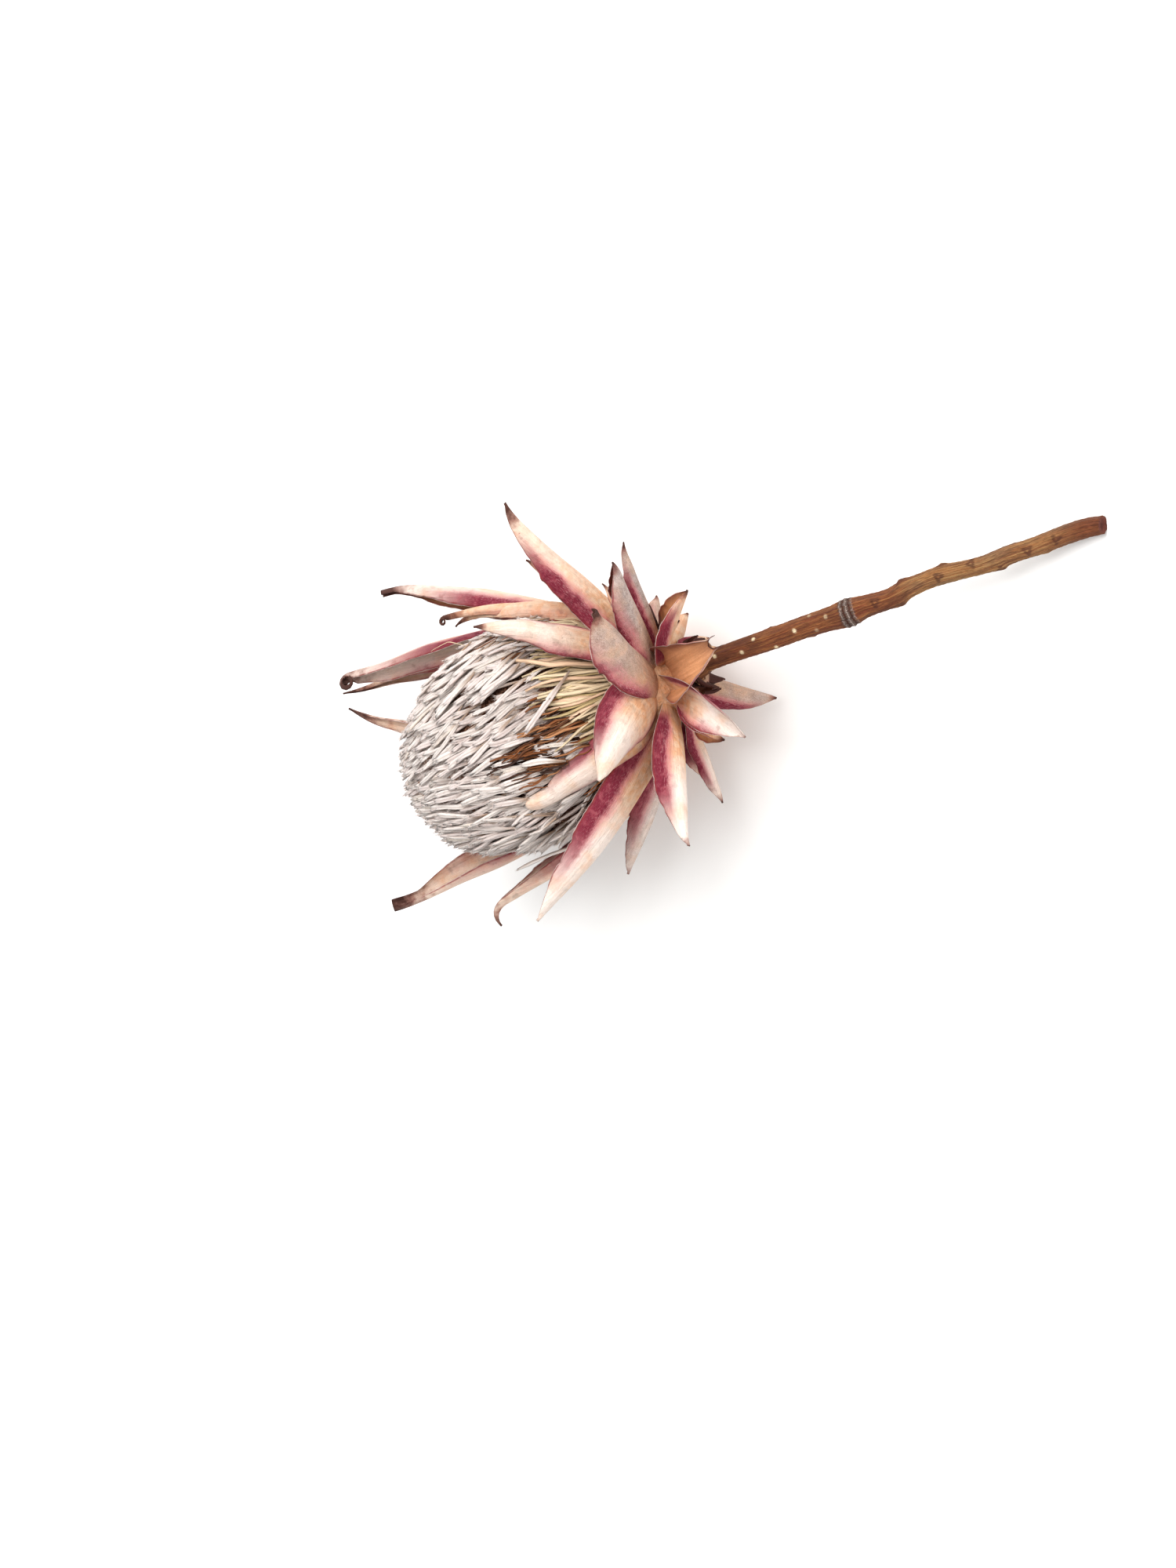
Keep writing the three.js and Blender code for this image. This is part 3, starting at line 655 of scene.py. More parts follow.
def make_cup(finish):
    """The cup of grown-together bract bases round the receptacle."""
    profile = [(r + CUP_GAP, z) for z, r in RECEPTACLE if z >= CUP_FROM]
    outside = [(r + CUP_WALL, z - CUP_DROP) for r, z in profile]
    outline = np.array(outside + profile[::-1])
    rows, sides = len(outline), CUP_SIDES
    turn = 2 * math.pi * np.arange(sides) / sides
    rings = np.stack([
        outline[:, :1] * np.cos(turn), outline[:, :1] * np.sin(turn),
        np.broadcast_to(outline[:, 1:], (rows, sides)),
    ], axis=-1)
    faces = []
    for i in range(rows):
        for j in range(sides):
            a, b = i * sides + j, i * sides + (j + 1) % sides
            c, d = ((i + 1) % rows) * sides + (j + 1) % sides, ((i + 1) % rows) * sides + j
            faces.append((a, b, c, d))
    points = rings.reshape(-1, 3)
    gather = Gather()
    gather.add(
        points, faces, blade=points.copy(), place=np.tile([0.5, 0.1, 1.0], (len(points), 1)),
        look=np.tile([0.2, 0, 0], (len(points), 1)), char=np.full(len(points), 2.0),
        lead=np.zeros(len(points)),
    )
    gather.piece("bract_cup", finish, "bracts")


def make_bracts(finish):
    """Bracts by whorl, and the sheets that the florets are kept clear of."""
    draw = make_draws(BRACT_SEED)
    sheets = []
    whorls = {
        "outer_bracts": OUTER_BRACTS,
        "middle_bracts": MIDDLE_BRACTS,
        "inner_bracts": INNER_BRACTS,
        "neck_scales": neck_scales(draw),
    }
    for name, bracts in whorls.items():
        gather = Gather()
        for bract in bracts:
            sheets.append(add_bract(gather, bract, draw))
        gather.piece(name, finish, "bracts")
    make_cup(finish)
    return sheets


def sheet_tree(sheets):
    """Search tree of the bracts' middle sheets."""
    points, faces, count = [], [], 0
    for sheet in sheets:
        rows, columns = sheet.shape[:2]
        points += sheet.reshape(-1, 3).tolist()
        for i in range(rows - 1):
            for j in range(columns - 1):
                a = count + i * columns + j
                faces.append((a, a + 1, a + columns + 1, a + columns))
        count += rows * columns
    return BVHTree.FromPolygons(points, faces)


# Florets

def head_point(z, turn, depth=0.0):
    """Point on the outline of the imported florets, sunk by a depth."""
    radius = np.maximum(0, along(HEAD, z) - depth)
    centre = HEAD_SKEW * (z / HEAD_FRONT) ** 3
    return np.array([centre + radius * math.cos(turn), radius * math.sin(turn), z])


def round_head(table, turn):
    """Value of an [angle, value] table at a turn round the head."""
    return float(along(table, math.degrees(turn) % 360))


def scattered(z, draw):
    """A height near another one, behind the front of the head."""
    return min(HEAD_FRONT - 0.5, z + draw(-STRAP_SCATTER, STRAP_SCATTER))


def crowding(z):
    """Share of the usual spacing between straps at a height: they are packed closer in front."""
    return 1 - CROWDING * float(smooth(z, *CROWDED_FROM))


def course_heights():
    """Heights of the courses of straps, spaced along the head's outline."""
    heights, walked, fine = [], STRAP_COURSE, 0.25
    for z in np.arange(min(row[1] for row in STRAPS_FROM), HEAD_FRONT, fine):
        if walked >= STRAP_COURSE * crowding(z):
            heights.append(float(z))
            walked = 0
        walked += math.hypot(fine, along(HEAD, z + fine) - along(HEAD, z))
    return heights


def add_fray(gather, at, heading, across, back, draw, seed, tone):
    """A short thread of wool that stands off a strap."""
    lean = unit(heading + across * draw(-0.6, 0.6) + back * draw(-0.3, 0.5))
    foot = 0.18 * across, 0.15 * back, -0.16 * across - 0.08 * back
    points = np.array([at + foot[0], at + foot[1], at + foot[2], at + lean * draw(*FRAY_LENGTH)])
    gather.add(
        points, SPIKE_FACES, blade=np.tile([0, 0, seed], (4, 1)).astype(float),
        # The thread takes a drawn share of the painted groove shade
        place=np.tile([draw(0.2, 0.8), 0.9, tone], (4, 1)),
    )


def strap_rings(tip, heading, across, back, draw, length, width, bow):
    """Shares of a strap's length, and its centre and ring of points at each: it widens from its
    root to a blunt end of uneven lobes."""
    s = np.linspace(0, 1, STRAP_ROWS) ** 0.85
    reach = np.array([draw(-1, 1) for _ in range(3)])[STRAP_LOBE] * LOBE_REACH * length
    share = 0.3 + 0.7 * smooth(s, 0, 0.45)
    share = share * (1 - 0.3 * smooth(s, 0.94, 1)) * (1 + 0.12 * np.sin(s * draw(8, 14) + draw(0, 6)))
    wiggle, phase = draw(0.2, 0.7), draw(0, 6)
    turned, turning = (math.radians(draw(-most, most)) for most in STRAP_TWIST)
    twist = turned + turning * s
    sideways = wiggle * np.sin(s * draw(2, 6) + phase)
    arch = -bow * (1 - s) ** 2 * length
    centre = (tip + np.outer((s - 1) * length, heading) + np.outer(sideways, across)
              + np.outer(arch + 0.35 * np.sin(s * draw(5, 9) + phase), back))
    left = np.cos(twist)[:, None] * across + np.sin(twist)[:, None] * back
    rise = np.cos(twist)[:, None] * back - np.sin(twist)[:, None] * across
    rough = np.array([[draw(0.75, 1.25) for _ in STRAP_SECTION] for _ in s])
    thick = STRAP_THICKNESS / 2 * (1 - 0.3 * smooth(s, 0.9, 1)) * share ** 0.5
    rings = (centre[:, None]
             + (left * (width / 2 * share)[:, None])[:, None] * STRAP_SECTION[None, :, :1]
             + (rise * thick[:, None])[:, None] * (STRAP_SECTION[None, :, 1:] * rough[..., None]))
    return s, centre, rings + smooth(s, 0.6, 1)[:, None, None] * reach[None, :, None] * heading


def add_strap(gather, tip, heading, outward, draw, length, width, bow, sunk=0.0):
    """One strap of wool with its threads, with painted shade in its grooves, darker the deeper it is
    sunk.
    """
    across = unit(np.cross(heading, outward))
    back = np.cross(across, heading)
    s, centre, rings = strap_rings(tip, heading, across, back, draw, length, width, bow)
    sides = len(STRAP_SECTION)
    ends = np.stack([rings[0].mean(axis=0), rings[-1].mean(axis=0) - heading * 0.3])
    points = np.concatenate([rings.reshape(-1, 3), ends])
    count = len(points)
    seed, tone = draw(0, 90), draw(0, 1)
    spread = np.append(np.repeat(s, sides), [0, 1])
    # Painted shade: the grooves, and the whole strap the deeper it is sunk
    groove = np.append(np.tile(STRAP_GROOVE_SHADE, STRAP_ROWS), [0.5, 0.6])
    groove = np.minimum(1, groove * (1 - 0.4 * sunk) + 0.7 * sunk)
    run = np.append(np.repeat(s * length, sides), [0, length])
    girth = np.append(np.tile(STRAP_SECTION[:, 0] * width / 2, STRAP_ROWS), [0, 0])
    gather.add(
        points, tube_faces(STRAP_ROWS, sides),
        blade=np.stack([girth, run, np.full(count, seed)], axis=1),
        place=np.stack([groove, spread, np.full(count, tone)], axis=1),
    )
    for _ in range(FRAYS):
        row = STRAP_ROWS - 1 if draw(0, 1) < 0.5 else round(draw(4, STRAP_ROWS - 2))
        side = round(draw(0, 6))
        at = rings[row, side] * 0.9 + centre[row] * 0.1
        add_fray(gather, at, heading, across, back, draw, seed, tone)


def crosses(tree, start, end):
    """Whether a bract lies between two points."""
    step = Vector(end - start)
    return tree.ray_cast(Vector(start), step.normalized(), step.length)[0] is not None


def strap_frame(z, turn, swing, rise, lift):
    """Tip, direction and outward direction of a strap at a height and angle on the head."""
    slope = unit(head_point(z, turn) - head_point(z - SLOPE_REACH, turn))
    around = np.array([-math.sin(turn), math.cos(turn), 0])
    outward = unit(np.cross(around, slope))
    forward = FORWARD_MOST * max(0, (z - FORWARD_FROM) / (HEAD_FRONT - FORWARD_FROM))
    swing = math.radians(round_head(STRAP_SWING, turn) + swing) * (1 - 0.5 * forward)
    heading = slope * (1 - forward) + np.array([0, 0, forward])
    heading = unit(heading) + around * math.tan(swing) + outward * rise
    return head_point(z, turn, -lift), unit(heading), outward


def add_tuft(gather, tree, z, turn, draw):
    """One to four straps side by side that share a direction, on or under their neighbours."""
    swing, rise, lift = draw(-TUFT_SWING, TUFT_SWING), draw(*TUFT_RISE), draw(*TUFT_LIFT)
    long, count = draw(*STRAP_LENGTH), round(draw(*TUFT_STRAPS))
    radius = max(6.0, float(along(HEAD, z)))
    for k in range(count):
        width = draw(*STRAP_WIDTH)
        beside = (k - (count - 1) / 2) * STRAP_APART + draw(-0.7, 0.7)
        height = scattered(z, draw)
        raised = lift + draw(-0.8, 0.8)
        tip, heading, outward = strap_frame(
            height, turn + beside / radius, swing + draw(-6, 6), rise + draw(-0.05, 0.05), raised)
        length = long * draw(0.75, 1.1)
        for squeeze in SQUEEZES:
            end = tip - outward * squeeze
            if not crosses(tree, end - heading * length, end + heading):
                # How far the strap is sunk, which sets its painted shade
                sunk = min(1, max(0, (1.2 - raised + squeeze) / SQUEEZES[-1]))
                add_strap(gather, end, heading, outward, draw, length, width, draw(0, 0.04), sunk)
                break


def add_loose_straps(gather, draw):
    """The straps that lie loose over the others, each from its root to its tip."""
    for root, tip, width in LOOSE_STRAPS:
        ends = [head_point(z, math.radians(angle), -lift) for z, angle, lift in (root, tip)]
        heading = unit(ends[1] - ends[0])
        outward = unit(head_point(tip[0], math.radians(tip[1]), -9) - ends[1])
        long = float(np.linalg.norm(ends[1] - ends[0]))
        add_strap(gather, ends[1], heading, outward, draw, long, width, 0.02)


def make_straps(finish, tree):
    """Straps laid like thatch over the head, in three pieces from back to front."""
    draw = make_draws(STRAP_SEED)
    heights = course_heights()
    bands = ("straps_back", "straps_middle", "straps_front")
    for band, name in enumerate(bands):
        gather = Gather()
        first, last = band * len(heights) // 3, (band + 1) * len(heights) // 3
        for course in range(first, last):
            radius = float(along(HEAD, heights[course]))
            count = max(3, round(2 * math.pi * radius / (TUFT_SPACING * crowding(heights[course]))))
            for k in range(count):
                turn = 2 * math.pi * (k + (course % 2) / 2 + draw(-0.4, 0.4)) / count
                z = scattered(heights[course], draw)
                if z >= round_head(STRAPS_FROM, turn):
                    add_tuft(gather, tree, z, turn, draw)
        if band == 0:
            add_loose_straps(gather, draw)
        gather.piece(name, finish, "florets")


def add_thread(gather, path, radius, tone, sides, flat, seed):
    """A round or flattened thread through points, thinner towards both ends."""
    path = np.asarray(path, float)
    rows = len(path)
    heading = unit(np.gradient(path, axis=0))
    outward = path * (1, 1, 0) + (0, 0, 1e-3)
    across = unit(np.cross(heading, outward))
    back = np.cross(across, heading)
    s = np.linspace(0, 1, rows)
    thin = radius * (0.55 + 0.45 * np.sin(math.pi * np.clip(s, 0.08, 0.92)))
    turn = -2 * math.pi * np.arange(sides) / sides
    rings = (path[:, None] + (across * thin[:, None])[:, None] * np.cos(turn)[None, :, None]
             + (back * thin[:, None] * flat)[:, None] * np.sin(turn)[None, :, None])
    points = np.concatenate([rings.reshape(-1, 3), path[:1], path[-1:]])
    count = len(points)
    run = np.linalg.norm(np.diff(path, axis=0), axis=1).sum()
    spread = np.append(np.repeat(s, sides), [0, 1])
    girth = np.append(np.tile(turn * radius, rows), [0, 0])
    gather.add(
        points, tube_faces(rows, sides),
        blade=np.stack([girth, spread * run, np.full(count, seed)], axis=1),
        tone=np.full(count, tone),
    )


def make_stalks(finish, tree):
    """Straw-coloured ribbon stalks that fan out of the receptacle to the straps' roots."""
    draw = make_draws(STRAP_SEED + 1)
    gather = Gather()
    for count, depth in STALK_LAYERS:
        for k in range(count):
            turn = 2 * math.pi * (k + draw(-0.5, 0.5)) / count
            reach = round_head(STRAPS_FROM, turn) + draw(-12, 5)
            swing = math.radians(draw(-9, 9))
            arch = draw(-0.4, 1.6)
            path = []
            for s in np.linspace(0, 1, 11):
                bearing = turn + swing * s + 0.02 * math.sin(7 * s + k)
                path.append(head_point(STALKS_FROM + (reach - STALKS_FROM) * s, bearing,
                                       depth - arch * math.sin(math.pi * s)))
            path[0] = head_point(STALKS_FROM, turn, depth + 2)
            if any(crosses(tree, a, b) for a, b in zip(path[2:], path[3:])):
                continue
            add_thread(gather, path, draw(*STALK_RADIUS), draw(0, 1), sides=6, flat=draw(0.3, 0.55),
                       seed=draw(0, 90))
    for *path, half_width in LOOSE_RIBBONS:
        knots = np.array(path, float)
        at = np.linspace(0, len(knots) - 1, 16)
        z, angle, lift = (np.interp(at, np.arange(len(knots)), knots[:, i]) for i in range(3))
        line = [head_point(*row) for row in zip(z, np.radians(angle), -lift)]
        add_thread(gather, line, half_width, draw(0.55, 0.95), sides=6, flat=0.4, seed=draw(0, 90))
    gather.piece("stalks", finish, "florets")


def make_fibres(finish, tree):
    """Tufts of torn fibres that lie between the straps' lower halves."""
    draw = make_draws(STRAP_SEED + 2)
    gather = Gather()
    for _ in range(FIBRE_TUFTS):
        on_side = draw(0, 1) < FIBRES_ON_SIDE
        tuft_turn = math.radians(draw(*FIBRE_SIDE)) if on_side else draw(0, 2 * math.pi)
        start = round_head(STRAPS_FROM, tuft_turn) + draw(-16, 18)
        swing = math.radians(round_head(STRAP_SWING, tuft_turn) + draw(-10, 10))
        for _ in range(round(draw(*FIBRES_A_TUFT))):
            turn = tuft_turn + draw(-0.08, 0.08)
            length = draw(*FIBRE_LENGTH)
            lift = draw(-1.6, 1.6)
            lean = swing + draw(-0.12, 0.12)
            path = []
            for s in np.linspace(0, 1, 7):
                bearing = turn + lean * s * length / 48 + 0.008 * math.sin(9 * s + turn * 50)
                path.append(head_point(start + length * s, bearing,
                                       -lift + 0.5 * math.sin(5 * s + 40 * turn)))
            if any(crosses(tree, a, b) for a, b in zip(path, path[1:])):
                continue
            add_thread(gather, path, draw(*FIBRE_RADIUS), draw(0, 1), sides=4, flat=0.5,
                       seed=draw(0, 90))
    gather.piece("torn_fibres", finish, "florets")


def make_core(finish):
    """Packed stalks under the straps, fluted near the foot."""
    heights = np.concatenate([[RECEPTACLE_TOP - 7], np.arange(14.0, CORE_TOP, CORE_STEP)])
    sides = CORE_SIDES
    turns = 2 * math.pi * np.arange(sides) / sides
    rings = []
    for z in heights:
        flute = FLUTE_DEPTH * np.sin(CORE_FLUTES * turns) * float(smooth(z, 60, 20))
        depth = CORE_DEPTH - 2 * float(smooth(z, 34, 14))
        rings.append([head_point(z, turn, depth + cut) for turn, cut in zip(turns, flute)])
    points = np.concatenate([np.array(rings).reshape(-1, 3), [[0, 0, RECEPTACLE_TOP + 0.3]],
                             [head_point(CORE_TOP, 0, 99)]])
    gather = Gather()
    gather.add(points, tube_faces(len(heights), sides), blade=points.copy())
    gather.piece("packed_core", finish, "florets")


# Stem

def stem_line(heights):
    """Centre of the stem at heights, on a smooth curve through its path."""
    path = np.array(STEM_PATH, float)
    ends = [2 * path[0] - path[1], *path, 2 * path[-1] - path[-2]]
    samples = []
    for p0, p1, p2, p3 in zip(ends, ends[1:], ends[2:], ends[3:]):
        for s in np.arange(0, 1, 0.05):
            samples.append(0.5 * (2 * p1 + (p2 - p0) * s + (2 * p0 - 5 * p1 + 4 * p2 - p3) * s ** 2
                                  + (3 * p1 - p0 - 3 * p2 + p3) * s ** 3))
    samples = np.array(samples + [path[-1]])[::-1]
    return np.stack([np.interp(heights, samples[:, 2], samples[:, i]) for i in (0, 1)]
                    + [heights], axis=1)


def from_scar(z, turn, height, angle):
    """How far points lie from a scar, along the stem and round it."""
    return z - height, 2 * STEM_RADIUS * np.sin((turn - math.radians(angle)) / 2)


def stem_surface(z, turn):
    """Radius of the stem at heights and turns, and its scars: under 0 dark, over 0 pale."""
    draw = make_draws(STEM_SEED)
    radius = along(STEM_RADII, z)
    ring = np.exp(-((z - NODE_RING_AT) / NODE_RING_SPREAD) ** 2)
    ridges = RING_RIDGE * np.cos((z - NODE_RING_AT) * 2.3 + 0.9 * np.sin(2 * turn + 1))
    ridges *= np.exp(-((z - NODE_RING_AT) / 3.4) ** 2)
    radius = radius + (NODE_RING_RADIUS - along(STEM_RADII, NODE_RING_AT)) * ring + ridges
    bark = np.zeros_like(z)
    for waves, size in BARK_RIDGES:
        wander = draw(0.02, 0.05)
        bark += size * np.sin(waves * turn + 2.5 * np.sin(z * wander + draw(0, 6)) + draw(0, 6))
    knobs = np.sin(1.7 * z + 3 * np.sin(2 * turn)) * np.sin(0.63 * z + turn)
    swelling = np.sin(z * 0.21 + 1.3 * np.sin(z * 0.05))
    radius = radius + bark + BARK_SWELLING * swelling + BARK_KNOB * knobs
    scar = np.zeros_like(z)
    for height, angle, stand in LEAF_SCARS:
        over, around = from_scar(z, turn, height, angle)
        uneven = 1 + 0.26 * np.sin(3 * np.arctan2(around, over) + height)
        apart = np.hypot(over * 0.9, around) * uneven
        radius += stand * np.exp(-(apart / LEAF_SCAR_REACH) ** 2)
        radius -= LEAF_SCAR_PIT * np.exp(-(np.hypot(over - 1.6, around) / 0.9) ** 2)
        scar = np.minimum(scar, -smooth(apart, 3.4, 0.8) + 0.5 * smooth(apart, 0.8, 0.3))
    spot = np.zeros_like(z)
    for height, angle, strength in PALE_SCARS:
        apart = np.hypot(*from_scar(z, turn, height, angle))
        radius += PALE_SCAR_STAND * smooth(apart, PALE_SCAR_REACH, 0.5)
        spot = np.maximum(spot, strength * smooth(apart, PALE_SCAR_REACH, 0.6))
    return radius, np.where(spot > 0.02, spot, scar)


def make_stem(finish):
    """Woody stem grown as one with the receptacle: bark ridges, node ring, scars and cut end."""
    sides = STEM_SIDES
    heights = np.arange(-STEM_LENGTH, RECEPTACLE[0][0] - STEM_STEP, STEM_STEP)
    turns = 2 * math.pi * np.arange(sides) / sides
    z, turn = np.meshgrid(heights, turns, indexing="ij")
    radius, scar = stem_surface(z, turn)
    centre = stem_line(heights)
    heading = unit(np.gradient(centre, axis=0))
    across = unit(np.cross(np.array([0, 1, 0]), heading))
    rise = np.cross(heading, across)
    slant = np.clip(1 - (heights + STEM_LENGTH) / CUT_SLANT_LENGTH, 0, 1)[:, None]
    spokes = across[:, None] * np.cos(turn)[..., None] + rise[:, None] * np.sin(turn)[..., None]
    rings = centre[:, None] + spokes * radius[..., None]
    rings = rings + heading[:, None] * (slant * CUT_SLANT * np.cos(turn - 1.2))[..., None]
    flare = []
    for height, wide in RECEPTACLE:
        flare.append(np.stack([wide * np.cos(turns), wide * np.sin(turns), turns * 0 + height], axis=1))
    pith = rings[0].mean(axis=0)
    cut = [pith + (rings[0] - pith) * share + [0, 0, dip] for share, dip in CUT_RINGS]
    rings = np.concatenate([np.array(cut), rings, np.array(flare)])
    ends = np.array([rings[0].mean(axis=0), [0, 0, RECEPTACLE_TOP]])
    points = np.concatenate([rings.reshape(-1, 3), ends])
    rows = len(rings)

    # For the finish the cut face counts as lying 2 to 8 mm past the end of an even, straight stem
    levels = np.concatenate([[-STEM_LENGTH - 6, -STEM_LENGTH - 4, -STEM_LENGTH - 2], heights,
                             [row[0] for row in RECEPTACLE]])
    run = np.append(np.repeat(levels, sides), [-STEM_LENGTH - 8, RECEPTACLE_TOP])
    rounds = np.append(np.tile(np.stack([np.cos(turns), np.sin(turns)], axis=1), (rows, 1)),
                       [[0, 0], [0, 0]], axis=0) * STEM_RADIUS
    scars = np.concatenate([np.zeros(len(cut) * sides), scar.ravel(), np.zeros(len(flare) * sides + 2)])
    gather = Gather()
    gather.add(points, tube_faces(rows, sides), blade=np.column_stack([rounds, run]), scar=scars)
    gather.piece("stem_bark", finish, "stem")


# Finishes

class Nodes:
    """Short calls for the nodes of a finish."""

    def __init__(self, tree):
        self.tree = tree

    def add(self, kind, settings=None, **inputs):
        """A node with its settings, and its named inputs fed."""
        made = self.tree.nodes.new(kind)
        for name, value in (settings or {}).items():
            setattr(made, name, value)
        for name, value in inputs.items():
            self.feed(made.inputs[name], value)
        return made

    def feed(self, socket, value):
        """Links a socket to a node's output, or sets it to a number or a colour."""
        if isinstance(value, bpy.types.NodeSocket):
            self.tree.links.new(value, socket)
        elif isinstance(value, tuple) and len(value) == 3 and socket.type == "RGBA":
            socket.default_value = (*value, 1)
        else:
            socket.default_value = value

    def math(self, operation, a, b=0.0, clamp=False):
        """Result of an operation on one or two values."""
        made = self.tree.nodes.new("ShaderNodeMath")
        made.operation = operation
        made.use_clamp = clamp
        self.feed(made.inputs[0], a)
        self.feed(made.inputs[1], b)
        return made.outputs[0]

    def plus(self, a, b):
        return self.math("ADD", a, b)

    def minus(self, a, b):
        return self.math("SUBTRACT", a, b)

    def times(self, a, b, clamp=False):
        return self.math("MULTIPLY", a, b, clamp)

    def mix(self, share, a, b, blend="MIX"):
        """Colour a with a share of colour b over it."""
        made = self.tree.nodes.new("ShaderNodeMix")
        made.data_type = "RGBA"
        made.blend_type = blend
        self.feed(made.inputs[0], share)
        self.feed(made.inputs[6], a)
        self.feed(made.inputs[7], b)
        return made.outputs[2]

    def step(self, value, low, high, start=0.0, end=1.0):
        """Even curve from start to end as a value goes from low to high."""
        made = self.add("ShaderNodeMapRange", dict(interpolation_type="SMOOTHSTEP"))
        inputs = ("Value", "From Min", "From Max", "To Min", "To Max")
        for name, item in zip(inputs, (value, low, high, start, end)):
            self.feed(made.inputs[name], item)
        return made.outputs["Result"]

    def shade(self, colour, level):
        """A colour made darker or lighter by a level."""
        grey = self.add("ShaderNodeCombineColor", Red=level, Green=level, Blue=level).outputs[0]
        return self.mix(1.0, colour, grey, blend="MULTIPLY")

    def painted(self, name, split=False):
        """A vector painted on the piece's points, or its three parts."""
        made = self.add("ShaderNodeAttribute", dict(attribute_name=name))
        if not split:
            return made.outputs["Vector"]
        parts = self.add("ShaderNodeSeparateXYZ", Vector=made.outputs["Vector"])
        return parts.outputs[0], parts.outputs[1], parts.outputs[2]

    def level(self, name):
        """A single value painted on the piece's points."""
        return self.add("ShaderNodeAttribute", dict(attribute_name=name)).outputs["Fac"]

    def noise(self, vector, scale, detail=3.0):
        """Even noise: the scale is in waves a millimetre."""
        made = self.add("ShaderNodeTexNoise", Vector=vector, Scale=scale, Detail=detail)
        return made.outputs["Fac"]

    def stretched_noise(self, vector, scale, detail):
        """Noise with a scale for each direction."""
        mapping = self.add("ShaderNodeMapping", Vector=vector, Scale=scale)
        return self.noise(mapping.outputs[0], 1.0, detail)

    def group(self, tree, **inputs):
        """The output of a group of nodes."""
        made = self.add("ShaderNodeGroup", dict(node_tree=tree), **inputs)
        return made.outputs[0]


def new_group(name, inputs, output):
    """An empty group of nodes with named sockets: its node calls, input node and output node."""
    tree = bpy.data.node_groups.new(name, "ShaderNodeTree")
    for socket, kind in inputs.items():
        tree.interface.new_socket(name=socket, in_out="INPUT", socket_type=kind)
    tree.interface.new_socket(name=output, in_out="OUTPUT", socket_type="NodeSocketFloat")
    nodes = Nodes(tree)
    return nodes, tree.nodes.new("NodeGroupInput").outputs, tree.nodes.new("NodeGroupOutput").inputs


def lengthwise_grain():
    """Streaks that run along a blade: their width and length are in millimetres."""
    sockets = {"Blade": "NodeSocketVector", "Width": "NodeSocketFloat", "Length": "NodeSocketFloat"}
    nodes, given, out = new_group("lengthwise grain", sockets, "Grain")
    parts = nodes.add("ShaderNodeSeparateXYZ", Vector=given["Blade"])
    streak = nodes.add(
        "ShaderNodeCombineXYZ", X=nodes.math("DIVIDE", parts.outputs[0], given["Width"]),
        Y=nodes.math("DIVIDE", parts.outputs[1], given["Length"]), Z=parts.outputs[2],
    )
    nodes.feed(out[0], nodes.noise(streak.outputs[0], 1.0, 4.0))
    return nodes.tree


def dry_blotches():
    """Soft blotches of a size in millimetres: Amount is the share that they cover."""
    sockets = {"Blade": "NodeSocketVector", "Size": "NodeSocketFloat", "Amount": "NodeSocketFloat"}
    nodes, given, out = new_group("dry blotches", sockets, "Mask")
    cloud = nodes.noise(given["Blade"], nodes.math("DIVIDE", 1.0, given["Size"]), 5.0)
    edge = nodes.minus(0.72, nodes.times(given["Amount"], 0.44))
    nodes.feed(out[0], nodes.step(cloud, edge, nodes.plus(edge, 0.12)))
    return nodes.tree


def new_finish(name, roughness, sheen=0.0, gloss=0.5):
    """A material with its shader: the finish's nodes feed what varies over the surface."""
    material = bpy.data.materials.new(name)
    material.use_nodes = True
    nodes = Nodes(material.node_tree)
    shader = material.node_tree.nodes["Principled BSDF"]
    shader.inputs["Roughness"].default_value = roughness
    shader.inputs["Sheen Weight"].default_value = sheen
    shader.inputs["Specular IOR Level"].default_value = gloss
    return material, nodes, shader


def bump(nodes, shader, height, depth):
    """Relief in millimetres, on the shader's normal."""
    made = nodes.add("ShaderNodeBump", Height=height, Distance=depth / 1000, Strength=1.0)
    nodes.feed(shader.inputs["Normal"], made.outputs["Normal"])


